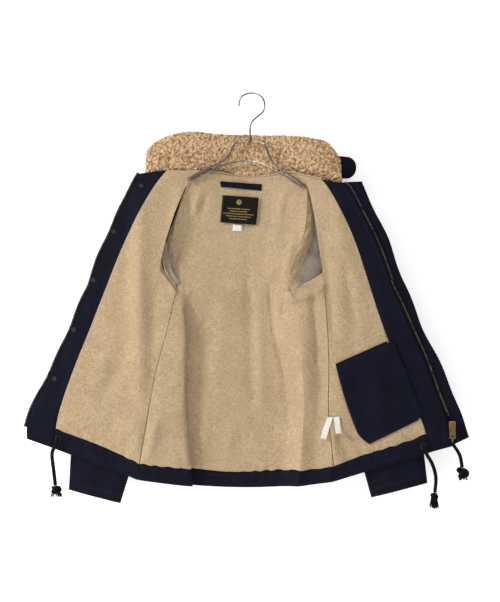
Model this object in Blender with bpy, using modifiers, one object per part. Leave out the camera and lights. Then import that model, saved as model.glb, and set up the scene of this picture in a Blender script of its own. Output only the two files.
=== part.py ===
"""A deck jacket on a wire hanger, in metres, +Z up.

The jacket hangs with both fronts swung wide open, so its pile lining faces -Y. The hang
point is the origin: it is the underside of the hook's crown, where a rail carries it.
Left and right are those of someone who looks at the lining. Tables are in millimetres:
"across" is +X, "drop" is the distance below the hang point and "depth" is +Y, away from
the viewer. Each table has a row for each level of the garment.
"""

import math

import bmesh
import bpy
import numpy as np
from mathutils import Vector
from mathutils.bvhtree import BVHTree

MM = 0.001

# Cloth
SEAM = 0.3 * MM
SIDE_GAP = 0.6 * MM
LAYER_GAP = 0.7 * MM
SHELL = 1.6 * MM
LINING = 2.6 * MM
FACING = 1.5 * MM
SLEEVE_LINING = 1.0 * MM
POCKET_CLOTH = 1.5 * MM
COLLAR_PILE = 12.0 * MM
UNDER_COLLAR = 1.8 * MM
TAPE = 1.0 * MM
PAPER = 0.8 * MM

# Hanger and hardware
WIRE = 3.8 * MM
TIP = 9.2 * MM
SNAP = 9.5 * MM
EYELET = 13.0 * MM
DRAWCORD = 7.5 * MM
PULL_CORD = 7.5 * MM

# Levels of the garment, with the number of grid rows from each to the next
LEVELS = ("neck", "shoulder", "chest", "low_armhole", "underarm", "side_top",
          "waist", "hip", "low_hip", "band", "hem")
ROWS = (1, 2, 1, 1, 2, 2, 2, 2, 2, 1)

LEFT_FRONT_COLUMNS = ("edge", "edge_drop", "facing", "facing_drop", "inner", "inner_drop", "inner_depth")
LEFT_FRONT = {
    "neck": (-236, 165, -178, 157, -78, 161, 9),
    "shoulder": (-254, 198, -207, 191, -134, 178, 9),
    "chest": (-304, 305, -267, 305, -184, 313, 0),
    "low_armhole": (-329, 366, -292, 366, -194, 366, 0),
    "underarm": (-343, 406, -308, 408, -161, 409, 0),
    "side_top": (-350, 421, -314, 423, -163, 426, 0),
    "waist": (-383, 500, -344, 500, -179, 500, 0),
    "hip": (-418, 576, -375, 576, -201, 576, 0),
    "low_hip": (-461, 660, -404, 660, -217, 665, 0),
    "band": (-474, 698, -412, 699, -236, 772, 0),
    "hem": (-473, 722, -420, 741, -240, 808, 0),
}
RIGHT_FRONT = {
    "neck": (193, 186, 146, 177, 76, 162, 9),
    "shoulder": (211, 208, 164, 198, 117, 187, 9),
    "chest": (257, 302, 216, 302, 138, 300, 0),
    "low_armhole": (281, 358, 235, 362, 147, 360, 0),
    "underarm": (290, 386, 243, 386, 150, 385, 0),
    "side_top": (292, 400, 247, 400, 152, 398, 0),
    "waist": (336, 492, 278, 494, 160, 494, 0),
    "hip": (372, 580, 313, 580, 163, 580, 0),
    "low_hip": (408, 674, 352, 672, 161, 672, 0),
    "band": (419, 706, 366, 712, 172, 779, 0),
    "hem": (424, 737, 383, 748, 168, 813, 0),
}

# The storm flap's free edge, beyond the zip
FLAP = {
    "neck": (231, 181), "shoulder": (243, 210), "chest": (287, 302), "low_armhole": (308, 360),
    "underarm": (318, 388), "side_top": (324, 402), "waist": (361, 493), "hip": (404, 580),
    "low_hip": (442, 673), "band": (452, 706), "hem": (457, 719),
}

BACK_COLUMNS = ("edge", "edge_drop", "edge_depth", "lip", "pleat", "centre_drop", "centre_depth", "valley",
                "valley_depth", "crest", "crest_depth", "turn", "turn_depth", "right", "right_drop",
                "right_depth")
BACK = {
    "neck": (-78, 161, 9, -60, 0, 170, 24, 16, 24, 34, 21, 54, 15, 76, 162, 9),
    "shoulder": (-134, 178, 9, -130, 0, 190, 27, 40, 26, 66, 22, 92, 15, 117, 187, 9),
    "chest": (-174, 313, 29, -160, 0, 313, 30, 46, 28, 74, 22, 96, 18, 112, 302, 15),
    "low_armhole": (-168, 366, 24, -156, 0, 366, 30, 41, 28, 58, 22, 70, 18, 80, 366, 15),
    "underarm": (-158, 409, 8, -150, 0.1, 412, 31, 41, 29, 58, 20, 69, 13.5, 78, 410, 10),
    "side_top": (-163, 426, 0, -151, 0.4, 456, 31, 42, 29, 88, 3, 128, 3, 152, 398, 0),
    "waist": (-179, 500, 0, -148, 1, 505, 32, 48, 30, 96, -1, 138, 7, 160, 494, 0),
    "hip": (-201, 576, 0, -150, 1, 582, 32, 66, 30, 106, -1, 141, 7, 163, 580, 0),
    "low_hip": (-217, 665, 0, -149, 1, 680, 32, 75, 30, 110, -1, 139, 7, 161, 672, 0),
    "band": (-236, 772, 0, -137, 1, 794, 32, 68, 30, 100, 2, 128, 8, 172, 779, 0),
    "hem": (-240, 808, 0, -133, 1, 828, 32, 66, 30, 98, 2, 126, 8, 168, 813, 0),
}
CENTRE = -5
PLEAT_TUCK = 18
PLEAT_TURN = 6.5

# Soft upright folds of the open fronts: place, half width and depth of each
LEFT_FOLDS = ((-230, 24, -5), (-287, 22, 1.5), (-199, 12, 1))
RIGHT_FOLDS = ((186, 16, -3), (212, 16, 1.2))

# Sleeves behind the fronts: the outer and the inner end of each flattened section
SLEEVE_COLUMNS = ("outer", "outer_drop", "inner", "inner_drop", "near", "far")
LEFT_SLEEVE = (
    (-214, 224, -182, 416, 11, 37),
    (-266, 296, -190, 466, 9, 37),
    (-316, 398, -192, 516, 8, 36),
    (-350, 520, -196, 572, 8, 36),
    (-372, 640, -222, 672, 7, 34),
    (-382, 742, -252, 775, 6, 31),
    (-386.6, 830, -277.6, 858.7, 6, 28),
)
RIGHT_SLEEVE = (
    (190, 234, 170, 416, 11, 37),
    (232, 304, 176, 466, 9, 37),
    (280, 404, 178, 518, 8, 36),
    (322, 520, 180, 574, 8, 36),
    (350, 640, 204, 674, 7, 34),
    (362, 742, 232, 776, 6, 31),
    (370.2, 815.9, 251.6, 846.7, 6, 28),
)
SLEEVE_HALF = 6
LINING_END = 24 * MM

# The collar, spread flat behind the hanger: its free edge and its neck edge, left to right
COLLAR_COLUMNS = ("across", "drop", "neck_across", "neck_drop", "depth")
COLLAR = (
    (-224, 122, -225.8, 175, 15),
    (-208, 97.4, -196, 177, 15.5),
    (-162, 78, -158, 173, 16.5),
    (-122, 73, -118, 163, 19),
    (-82, 78, -80, 160.8, 22),
    (-40, 80, -40, 167.2, 24),
    (0, 80.5, 0, 169, 24),
    (40, 81.7, 40, 166.4, 24),
    (85, 81.7, 80, 161.5, 22),
    (134, 88.6, 124, 172, 18),
    (162, 97.4, 158, 180, 16),
    (186, 130, 191, 184, 15),
)
TAB_LENGTH, TAB_WIDTH = 76 * MM, 47 * MM
TAB_TIP = (221, 152)

# What is sewn on the lining: corners as across and drop
POCKET_SIDE = ((175, 564.5), (190.7, 626), (213, 690), (226, 717), (246, 733))
POCKET_FRONT = ((282, 517), (302, 566), (327, 624), (344, 664), (350, 682))
LABEL = ((-62, 209), (14, 214), (9, 271.5), (-67, 266))
SIZE_TAG = ((-40.5, 269.5), (-20, 270.5), (-20.5, 285.5), (-41, 284.5))
LOOP = ((-67, 180), (21, 185.5), (20, 199), (-66, 191.5))
CARE_LABELS = ((1.1 * MM, (158, 676), (170, 676), (155, 724.5), (143, 722)),
               (0.4 * MM, (171.5, 676), (183, 675), (187, 711), (175, 713)))

# Hardware: places as across and drop
SNAPS = ((-232.5, 190), (-290.4, 286.6), (-332.5, 388.5), (-374.5, 492), (-414, 595.4))
EYELETS = {"left": (-407.4, 721), "right": (360.4, 738)}
SLIDER = (420, 693)
SLIDER_SIZE = (14, 5, 17)
BRIDGE_FORWARD = 5.6
PIN = 2.0 * MM
PULL_SIZE = (12.6, 2.0, 30)
PULL_EYE = 5.0 * MM
RING = (11.0 * MM, 1.7 * MM)
CORD_END_GAP = 0.3 * MM

# The hanger: points of each bent wire as across, drop and depth
HOOK = ((-27.3, 23, 0), (-26.9, 14, 0), (-22, 3.5, 0), (-12.5, -2.2, 0), (1.5, -4.4, 0), (14.5, -0.8, 0),
        (24.2, 9, 0), (26.5, 24, 0), (21, 37, 0), (8, 48, 0), (-1.5, 58, 0), (-4, 70, 0), (-4, 84, 0))
TOP_WIRE = ((-126.9, 173.4, -0.2), (-117.6, 166, 0.8), (-98, 157, 0.3), (-76.2, 146.5, 0), (-59.2, 137, 0),
            (-46.2, 121.8, 0), (-38.5, 105, 0), (-32, 99.6, 0), (-18, 99, 0), (8, 99.6, 0), (21, 100.6, 0),
            (27.5, 106, 0), (34, 121.8, 0), (42, 139, 0), (53, 151.5, 0), (75, 166, 0.8), (96, 180, 2.4),
            (104.9, 188, 3.3))
LOWER_WIRE = ((-125, 177.4, -0.2), (-115, 172.6, 0.8), (-98, 164, 0.3), (-80, 155.2, 0), (-57.5, 146, 0),
              (-31.5, 140.2, 0), (-8.6, 138.6, 0), (12, 141.5, 0), (32, 149.5, 0), (52, 160.5, 0),
              (74, 173.2, 0.8), (92, 185.6, 2.4), (103.1, 191.5, 3.3))
TIPS = {"left": (-130.6, 177, -0.3), "right": (108.6, 191.5, 3.3)}
FERRULE = (7.6 * MM, 84.3, 96.8)

# Free cords: routes as across, drop and depth, from the fixed end
LEFT_CORD = ((-407.4, 721, -4.3), (-407.6, 722.5, -9), (-409.4, 729.5, -12), (-414, 739, -12), (-418.5, 751, -10.5), (-418, 768, -8),
             (-415.5, 790, -6), (-412.4, 819, -5))
RIGHT_CORD = ((360.4, 738, -4.3), (360.7, 739.5, -9), (362.5, 746.5, -12), (367, 756, -12), (376, 771, -10), (383, 790, -8),
              (385.5, 808, -6.5), (383.5, 834, -6))
PULL_ROUTE = ((425.5, 740, -10), (430, 746, -10.5), (435.5, 757, -10), (438, 768, -9.5), (440, 781, -9))

NAVY = (0.006, 0.008, 0.020, 1)
PILE = (0.47, 0.33, 0.17, 1)
BOA = (0.50, 0.32, 0.16, 1)
SATIN = (0.26, 0.22, 0.17, 1)
STEEL = (0.62, 0.60, 0.57, 1)
COPPER = (0.52, 0.24, 0.14, 1)
BRASS = (0.20, 0.15, 0.06, 1)
BLACK = (0.006, 0.006, 0.007, 1)
WHITE = (0.80, 0.79, 0.76, 1)
GUN_METAL = (0.05, 0.05, 0.06, 1)


def material(name, colour, roughness, metallic=0.0):
    made = bpy.data.materials.get(name)
    if made:
        return made
    made = bpy.data.materials.new(name)
    made.use_nodes = True
    shader = made.node_tree.nodes["Principled BSDF"]
    shader.inputs["Base Color"].default_value = colour
    shader.inputs["Roughness"].default_value = roughness
    shader.inputs["Metallic"].default_value = metallic
    return made


# Curves and grids

def point(across, drop, depth=0.0):
    """A place in the tables' millimetres as metres in the frame."""
    return np.array((across * MM, depth * MM, -drop * MM))


def smooth(values, counts):
    """A smooth run through the rows of values, with this many steps from each to the next."""
    values = np.asarray(values, float)
    before = np.vstack([2 * values[:1] - values[1:2], values[:-1]])
    after = np.vstack([values[1:], 2 * values[-1:] - values[-2:-1]])
    tangents = (after - before) / 2
    out = []
    for i, count in enumerate(counts):
        for t in np.arange(count) / count:
            near = (2 * t**3 - 3 * t**2 + 1) * values[i] + (t**3 - 2 * t**2 + t) * tangents[i]
            far = (3 * t**2 - 2 * t**3) * values[i + 1] + (t**3 - t**2) * tangents[i + 1]
            out.append(near + far)
    return np.array([*out, values[-1]])


def smooth_grid(grid, counts):
    """smooth() down the rows of a grid of points."""
    rows, columns, size = grid.shape
    flat = smooth(grid.reshape(rows, columns * size), counts)
    return flat.reshape(-1, columns, size)


def line(start, end, steps):
    """Evenly spaced points, without the last."""
    return [np.asarray(start) + (np.asarray(end) - np.asarray(start)) * i / steps for i in range(steps)]


def spaced(route, step):
    """Points this far apart along a smooth curve through a route of table places."""
    fine = smooth([point(*place) for place in route], [24] * (len(route) - 1))
    along = np.concatenate([[0], np.cumsum(np.linalg.norm(np.diff(fine, axis=0), axis=1))])
    count = max(2, round(along[-1] / step) + 1)
    wanted = np.linspace(0, along[-1], count)
    return np.column_stack([np.interp(wanted, along, fine[:, k]) for k in range(3)])


def unit(vectors):
    return vectors / np.maximum(np.linalg.norm(vectors, axis=-1, keepdims=True), 1e-9)


def normals(grid, closed=False):
    """Unit normals of a grid of points, to the outside of the garment."""
    if closed:
        wide = np.concatenate([grid[:, -2:-1], grid, grid[:, 1:2]], axis=1)
        across = (wide[:, 2:] - wide[:, :-2]) / 2
    else:
        across = np.gradient(grid, axis=1)
    down = np.gradient(grid, axis=0)
    return unit(np.cross(across, down))


def lifted(grid, distance, closed=False):
    """The same cloth moved out along its normals."""
    return grid + normals(grid, closed) * distance


def parted(grid, left=SEAM / 2, right=SEAM / 2, top=SEAM / 2, bottom=SEAM / 2):
    """A panel drawn in from its seams."""
    grid = grid.copy()
    grid[:, 0] += unit(grid[:, 1] - grid[:, 0]) * left
    grid[:, -1] += unit(grid[:, -2] - grid[:, -1]) * right
    grid[0] += unit(grid[1] - grid[0]) * top
    grid[-1] += unit(grid[-2] - grid[-1]) * bottom
    return grid


# Makers of objects

def keep(obj, finish, angle=35):
    """Files an object in the jacket's collection with its material."""
    for other in obj.users_collection:
        other.objects.unlink(obj)
    bpy.data.collections["deck_jacket"].objects.link(obj)
    obj.data.materials.clear()
    obj.data.materials.append(finish)
    if obj.type == "MESH":
        obj.data.shade_smooth()
        obj.data.set_sharp_from_angle(angle=math.radians(angle))
    return obj


def cloth(name, grid, thickness, finish, outward=False, closed=False, weights=None):
    """A panel: a flat grid moved onto rows of points, with a wall on one side of them."""
    rows, columns = grid.shape[0] - 1, grid.shape[1] - 1
    bm = bmesh.new()
    bmesh.ops.create_grid(bm, x_segments=columns, y_segments=rows, size=1)
    layer = bm.verts.layers.deform.verify()
    places = {}
    for vert in bm.verts:
        column = round((vert.co.x + 1) / 2 * columns)
        row = round((1 - vert.co.y) / 2 * rows)
        places[vert] = (row, column)
    for vert, (row, column) in places.items():
        vert.co = grid[row, column]
    # The grid is laid with its rows running down, which turns its faces round.
    bmesh.ops.reverse_faces(bm, faces=bm.faces)
    if weights is not None:
        for vert, (row, column) in places.items():
            vert[layer][0] = weights[row, column]
    if closed:
        bmesh.ops.remove_doubles(bm, verts=bm.verts, dist=1e-6)
    mesh = bpy.data.meshes.new(name)
    bm.to_mesh(mesh)
    bm.free()
    obj = bpy.data.objects.new(name, mesh)
    bpy.context.scene.collection.objects.link(obj)
    keep(obj, finish)
    wall = obj.modifiers.new("Wall", "SOLIDIFY")
    wall.thickness = thickness
    wall.offset = 1 if outward else -1
    if weights is not None:
        obj.vertex_groups.new(name="thickness")
        wall.vertex_group = "thickness"
        wall.thickness_vertex_group = 0.22
    return obj


def wire(name, points, diameter, finish, sides=2, closed=False):
    """A round wire or cord through points."""
    data = bpy.data.curves.new(name, "CURVE")
    data.dimensions = "3D"
    data.bevel_depth = diameter / 2
    data.bevel_resolution = sides
    data.use_fill_caps = not closed
    spline = data.splines.new("POLY")
    spline.points.add(len(points) - 1)
    for target, place in zip(spline.points, points):
        target.co = (*place, 1)
    spline.use_cyclic_u = closed
    spline.use_smooth = True
    obj = bpy.data.objects.new(name, data)
    bpy.context.scene.collection.objects.link(obj)
    return keep(obj, finish)


def turned(name, profile, place, finish, steps=20, axis="Z"):
    """A turned piece: a profile of (radius, height), listed down its outer side, round a line."""
    mesh = bpy.data.meshes.new(name)
    verts = [(radius, 0, height) for radius, height in profile]
    mesh.from_pydata(verts, [(i, i + 1) for i in range(len(verts) - 1)], [])
    obj = bpy.data.objects.new(name, mesh)
    bpy.context.scene.collection.objects.link(obj)
    obj.location = place
    if axis == "Y":
        obj.rotation_euler = (math.radians(90), 0, 0)
    keep(obj, finish)
    screw = obj.modifiers.new("Turn", "SCREW")
    screw.steps = steps
    screw.render_steps = steps
    screw.use_merge_vertices = True
    screw.merge_threshold = 1e-6
    return obj


def block(name, size, place, finish, bevel=0.0, segments=2):
    bpy.ops.mesh.primitive_cube_add(size=1, location=place)
    obj = bpy.context.object
    obj.name = name
    obj.data.name = name
    obj.scale = size
    bpy.ops.object.transform_apply(location=False, rotation=False, scale=True)
    keep(obj, finish)
    if bevel:
        edge = obj.modifiers.new("Edge", "BEVEL")
        edge.width = bevel
        edge.segments = segments
    return obj


def joined(obj, other, operation="UNION"):
    """A Boolean with a helper, which goes to the cutters."""
    for holder in other.users_collection:
        holder.objects.unlink(other)
    bpy.data.collections["cutters"].objects.link(other)
    other.hide_render = True
    other.display_type = "WIRE"
    cut = obj.modifiers.new(other.name, "BOOLEAN")
    cut.operation = operation
    cut.solver = "EXACT"
    cut.object = other
    return obj


# The body's surface: every panel of one region is cut from one grid

def front_grid(table, folds, lining_columns=8):
    """An open front, from its outer edge to the armhole and the side seam, column by column."""
    rows = []
    for level in LEVELS:
        row = dict(zip(LEFT_FRONT_COLUMNS, table[level]))
        edge = np.array((row["edge"], row["edge_drop"], 0.0))
        seam = np.array((row["facing"], row["facing_drop"], 0.0))
        inner = np.array((row["inner"], row["inner_drop"], row["inner_depth"]))
        rows.append([*line(edge, seam, 2), *line(seam, inner, lining_columns), inner])
    grid = np.array(rows)
    # The depth of the inner edge fades over the first half of the panel.
    fade = np.clip(np.linspace(-0.5, 1, grid.shape[1]), 0, 1)
    grid[:, :, 2] = grid[:, -1:, 2] * fade[None]
    grid = smooth_grid(grid, ROWS)
    strength = np.clip((grid[:, :, 1] - 200) / 90, 0, 1)
    for place, half, depth in folds:
        grid[:, :, 2] += strength * depth * np.exp(-(((grid[:, :, 0] - place) / half) ** 2))
    if grid[0, 0, 0] > grid[0, -1, 0]:
        grid = grid[:, ::-1]
    return np.stack([grid[..., 0], grid[..., 2], -grid[..., 1]], axis=-1) * MM


def arc(centre, radius, start, end, steps):
    """Points of an arc in a plan section, without the last. Angles are in degrees from +X."""
    angles = np.radians(np.linspace(start, end, steps + 1)[:-1])
    return [np.array((centre[0] + radius * math.cos(a), centre[1] + radius * math.sin(a))) for a in angles]


def pleated(edge, lip, centre):
    """The left half of a back section: side seam, lip of the pleat, tuck behind it, centre."""
    lip_centre = (lip, PLEAT_TURN)
    tuck_centre = (lip - PLEAT_TUCK, 3 * PLEAT_TURN)
    back_start = (lip - PLEAT_TUCK, 4 * PLEAT_TURN)
    return np.array([
        *line(edge, (lip, 0), 2),
        *arc(lip_centre, PLEAT_TURN, -90, 90, 4),
        (lip, 2 * PLEAT_TURN),
        *arc(tuck_centre, PLEAT_TURN, 270, 90, 4),
        *line(back_start, centre, 4),
    ])


def back_grid():
    """The back from the left armhole and side seam to the right ones, with its two deep folds."""
    rows = []
    for level in LEVELS:
        row = dict(zip(BACK_COLUMNS, BACK[level]))
        edge = np.array((row["edge"], row["edge_depth"]), float)
        centre = np.array((CENTRE, row["centre_depth"]), float)
        deep = pleated(edge, row["lip"], centre)
        run = np.concatenate([[0], np.cumsum(np.linalg.norm(np.diff(deep, axis=0), axis=1))])
        share = (run / (run[-1] + np.linalg.norm(centre - deep[-1])))[:, None]
        plain = edge + (centre - edge) * share
        left = plain * (1 - row["pleat"]) + deep * row["pleat"]
        knots = [centre] + [np.array((row[name], row[name + "_depth"]), float)
                            for name in ("valley", "crest", "turn", "right")]
        right = smooth(knots, (3, 3, 2, 2))
        section = np.vstack([left, right])
        reach = (section[:, 0] - CENTRE)
        side = np.where(reach < 0, reach / (row["edge"] - CENTRE), reach / (row["right"] - CENTRE))
        end_drop = np.where(reach < 0, row["edge_drop"], row["right_drop"])
        drop = row["centre_drop"] + (end_drop - row["centre_drop"]) * np.clip(side, 0, 1) ** 2
        rows.append(np.column_stack([section[:, 0], drop, section[:, 1]]))
    grid = smooth_grid(np.array(rows), ROWS)
    return np.stack([grid[..., 0], grid[..., 2], -grid[..., 1]], axis=-1) * MM


def row_of(level):
    return sum(ROWS[:LEVELS.index(level)])


BAND_ROW, HEM_ROW = row_of("band"), row_of("hem")


def build_front(side, table, folds):
    """Shell, facing, lining and hem band of one open front."""
    grid = front_grid(table, folds)
    navy = material("navy cloth", NAVY, 0.75)
    facing_columns = slice(0, 3) if side == "left" else slice(-3, None)
    lining_columns = slice(2, None) if side == "left" else slice(0, -2)
    half = LAYER_GAP / 2
    cloth(f"front_{side}_shell", parted(lifted(grid, half)), SHELL, navy, outward=True)
    inside = lifted(grid, -half)
    cloth(f"front_{side}_facing", parted(inside[:, facing_columns]), FACING, navy)
    lining = cloth(f"front_{side}_lining", parted(inside[:BAND_ROW + 1, lining_columns]), LINING,
                   material("pile lining", PILE, 0.95))
    cloth(f"hem_band_{side}", parted(inside[BAND_ROW:, lining_columns]), FACING, navy)
    return grid, lining


def met(back, seam, column, step):
    """The back's edge laid on a front's shoulder and side seams, easing off over the next columns."""
    for rows in (slice(0, row_of("shoulder") + 1), slice(row_of("side_top"), None)):
        shift = seam[rows] - back[rows, column]
        for i, share in enumerate((1, 0.6, 0.25)):
            back[rows, column + step * i] += shift * share


def build_back(left, right):
    grid = back_grid()
    met(grid, left[:, -1], 0, 1)
    met(grid, right[:, 0], -1, -1)
    half = LAYER_GAP / 2
    navy = material("navy cloth", NAVY, 0.75)
    cloth("back_shell", parted(lifted(grid, half), SIDE_GAP, SIDE_GAP), SHELL, navy, outward=True)
    inside = parted(lifted(grid, -half), SIDE_GAP, SIDE_GAP, 0, 0)
    lining = cloth("back_lining", parted(inside[:BAND_ROW + 1], 0, 0), LINING,
                   material("pile lining", PILE, 0.95))
    cloth("hem_band_back", parted(inside[BAND_ROW:], 0, 0), FACING, navy)
    return grid, lining


# Sleeves

def flat_section(outer, inner, near, far):
    """A flattened tube section: down its near side from the outer end, and back up its far side."""
    outer, inner = np.asarray(outer, float), np.asarray(inner, float)
    middle, half = (near + far) / 2, (far - near) / 2
    points = []
    for i in range(2 * SLEEVE_HALF):
        turn = math.pi * (i + 0.5) / SLEEVE_HALF
        share = (1 - math.copysign(abs(math.cos(turn)) ** 0.8, math.cos(turn))) / 2
        swell = -math.copysign(abs(math.sin(turn)) ** 0.6, math.sin(turn))
        across, drop = outer + (inner - outer) * share
        points.append(point(across, drop, middle + swell * half))
    return np.array(points)


def resampled(points, count):
    """This many points along a line of points: near its ends, on its corners and evenly between."""
    along = np.concatenate([[0], np.cumsum(np.linalg.norm(np.diff(points, axis=0), axis=1))])
    wanted = np.linspace(0.03, 0.97, count) * along[-1]
    for corner in along[1:-1]:
        nearest = int(np.argmin(abs(wanted - corner)))
        if 0 < nearest < count - 1:
            wanted[nearest] = corner
    return np.column_stack([np.interp(wanted, along, points[:, k]) for k in range(3)])


def drawn_in(section, width_step, depth_step):
    """A tube section inside another: its two ends and its two sides drawn in."""
    top = (section[0] + section[-1]) / 2
    bottom = (section[SLEEVE_HALF - 1] + section[SLEEVE_HALF]) / 2
    axis, width = unit(bottom - top), np.linalg.norm(bottom - top)
    middle = (section + section[::-1]) / 2
    inside = section + unit(middle - section) * depth_step
    along = (inside - (top + bottom) / 2) @ axis
    return inside - np.outer(along * 2 * width_step / width, axis)


def tube(grid, side):
    """Sections closed into rings whose normals point out of the sleeve."""
    grid = np.concatenate([grid, grid[:, :1]], axis=1)
    return grid[:, ::-1] if side == "right" else grid


def build_sleeve(side, table, front, back):
    """A sleeve from the armhole to its cuff, behind the open front, with its satin lining."""
    sign = -1 if side == "left" else 1
    top, bottom = row_of("shoulder"), row_of("side_top" if side == "right" else "underarm")
    front_edge = front[top:bottom + 1, -1 if side == "left" else 0]
    back_edge = back[top:bottom + 1, 0 if side == "left" else -1][::-1]
    behind = SEAM / 2 + SHELL + 2.1 * MM
    ring = np.vstack([resampled(front_edge, SLEEVE_HALF) + (sign * MM, behind, 0),
                      resampled(back_edge, SLEEVE_HALF) + (-sign * 1.5 * MM, behind, 0)])
    sections = [ring]
    for row in table:
        row = dict(zip(SLEEVE_COLUMNS, row))
        ends = (row["outer"], row["outer_drop"]), (row["inner"], row["inner_drop"])
        sections.append(flat_section(*ends, row["near"], row["far"]))
    rings = smooth_grid(np.array(sections), (2, 2, 2, 2, 2, 2, 1))
    cloth(f"sleeve_{side}", tube(rings, side), SHELL, material("navy cloth", NAVY, 0.75), closed=True)
    inside = tube(np.array([drawn_in(ring, 5 * MM, SHELL + 2.3 * MM) for ring in rings]), side)
    inside[0] += (inside[1] - inside[0]) * 0.45
    inside[-1] += unit(inside[-2] - inside[-1]) * LINING_END
    cloth(f"sleeve_lining_{side}", inside, SLEEVE_LINING, material("sleeve satin", SATIN, 0.45), closed=True)


# Zip, flap and collar

def build_flap(front):
    """The storm flap behind the right edge: from a line of stitches inside the zip to its free edge."""
    zip_edge = front[:, -1]
    free = smooth([FLAP[level] for level in LEVELS], ROWS)
    free = np.column_stack([free[:, 0], np.zeros(len(free)), -free[:, 1]]) * MM
    inner = zip_edge + unit(front[:, -2] - zip_edge) * 14 * MM
    rows = [[*line(a, b, 2), b] for a, b in zip(inner, free)]
    grid = np.array(rows)
    grid[:, :, 1] = LAYER_GAP / 2 + SHELL + 1.0 * MM
    grid[:, 2, 1] += 0.6 * MM
    cloth("storm_flap", grid, 2 * FACING, material("navy cloth", NAVY, 0.75), outward=True)


def build_tapes(left, right):
    """The zip's two tapes, each a narrow strip that stands out past its front's edge."""
    dark = material("zip tape", BLACK, 0.7)
    for side, edge, inward in (("left", left[:, 0], left[:, 1]), ("right", right[:, -1], right[:, -2])):
        rows = slice(0, row_of("band") + 1) if side == "left" else slice(0, row_of("low_hip") + 1)
        edge, inward = edge[rows], inward[rows]
        out = unit(edge - inward)
        grid = np.stack([edge + out * 0.4 * MM, edge + out * 6 * MM], axis=1)
        grid[:, :, 1] = -0.6 * MM
        if side == "left":
            grid = grid[:, ::-1]
        cloth(f"zip_tape_{side}", grid, TAPE, dark, outward=True)


def build_collar():
    table = np.array(COLLAR, float)
    columns = {name: table[:, i] for i, name in enumerate(COLLAR_COLUMNS)}
    rows = 4
    grid = np.empty((rows + 1, len(table), 3))
    for i, share in enumerate(np.linspace(0, 1, rows + 1)):
        across = columns["across"] + (columns["neck_across"] - columns["across"]) * share
        drop = columns["drop"] + (columns["neck_drop"] - columns["drop"]) * share
        lean = 4 * (1 - share) ** 2
        grid[i] = np.column_stack([across, columns["depth"] + lean, -drop]) * MM
    grid = smooth_grid(grid.transpose(1, 0, 2), [2] * (len(table) - 1)).transpose(1, 0, 2)
    weights = np.ones(grid.shape[:2])
    weights[:, [0, -1]] = 0.25
    weights[[0], :] = 0.25
    weights[[-1], :] = 0.45
    weights[1:-1, [1, -2]] = 0.8
    cloth("collar_pile", grid, COLLAR_PILE, material("boa pile", BOA, 1.0), weights=weights)
    under = lifted(parted(grid, 2 * MM, 2 * MM, 2 * MM, 0), SEAM)
    cloth("under_collar", under, UNDER_COLLAR, material("navy cloth", NAVY, 0.75), outward=True)
    build_tab(under[0, -1, 1] / MM)


def build_tab(depth):
    """The throat tab, a strap with a round end that stands out from behind the collar."""
    across, drop = TAB_TIP
    tilt = math.radians(4)
    half = TAB_WIDTH / 2
    tip = point(across, drop, depth + 4.2)
    outline = [(-TAB_LENGTH, half), (-TAB_LENGTH, -half)]
    outline += [(half * 0.9 * (math.cos(a) - 1), half * math.sin(a))
                for a in np.radians(np.linspace(-90, 90, 13))]
    data = bpy.data.curves.new("collar_tab", "CURVE")
    data.dimensions = "2D"
    data.fill_mode = "BOTH"
    data.extrude = 1.3 * MM
    spline = data.splines.new("POLY")
    spline.points.add(len(outline) - 1)
    for target, (x, y) in zip(spline.points, outline):
        target.co = (x, y, 0, 1)
    spline.use_cyclic_u = True
    obj = bpy.data.objects.new("collar_tab", data)
    bpy.context.scene.collection.objects.link(obj)
    obj.location = tip
    obj.rotation_euler = (math.radians(90), tilt, 0)
    keep(obj, material("navy cloth", NAVY, 0.75))


# Pieces that lie on the lining

class Surface:
    """The viewer's side of finished panels: rest() finds a place on it."""

    def __init__(self, *panels):
        bpy.context.view_layer.update()
        graph = bpy.context.evaluated_depsgraph_get()
        self.trees = [BVHTree.FromObject(panel, graph) for panel in panels]

    def rest(self, across, drop, lift):
        start = Vector((across * MM, -0.3, -drop * MM))
        hits = [tree.ray_cast(start, Vector((0, 1, 0)))[0] for tree in self.trees]
        depths = [hit.y for hit in hits if hit is not None]
        if not depths:
            raise ValueError(f"nothing behind {across}, {drop}")
        return np.array((start.x, min(depths) - lift, start.z))


def patch(surface, corners, columns, rows, lift, swell=0.0):
    """A grid on a surface between four corners, clockwise from the top left."""
    corners = np.array(corners, float)
    grid = np.empty((rows + 1, columns + 1, 3))
    for i, v in enumerate(np.linspace(0, 1, rows + 1)):
        for j, u in enumerate(np.linspace(0, 1, columns + 1)):
            upper = corners[0] * (1 - u) + corners[1] * u
            lower = corners[3] * (1 - u) + corners[2] * u
            across, drop = upper * (1 - v) + lower * v
            grid[i, j] = surface.rest(across, drop, lift + swell * math.sin(math.pi * u) ** 2)
    return grid


def flattened(grid, share=1.0):
    """A stiff little piece: its grid drawn to the plane that touches the foremost of its points."""
    flat = grid.copy()
    flat[..., 1] = grid[..., 1] * (1 - share) + grid[..., 1].min() * share
    return flat


def build_pocket(surface):
    side = smooth(POCKET_SIDE, [2] * 4)
    front = smooth(POCKET_FRONT, [2] * 4)
    rows = []
    for a, b in zip(side, front):
        places = [a + (b - a) * u for u in np.linspace(0, 1, 7)]
        rows.append([surface.rest(*place, 1.2 * MM) for place in places])
    cloth("inside_pocket", np.array(rows), POCKET_CLOTH, material("navy cloth", NAVY, 0.75))


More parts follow.
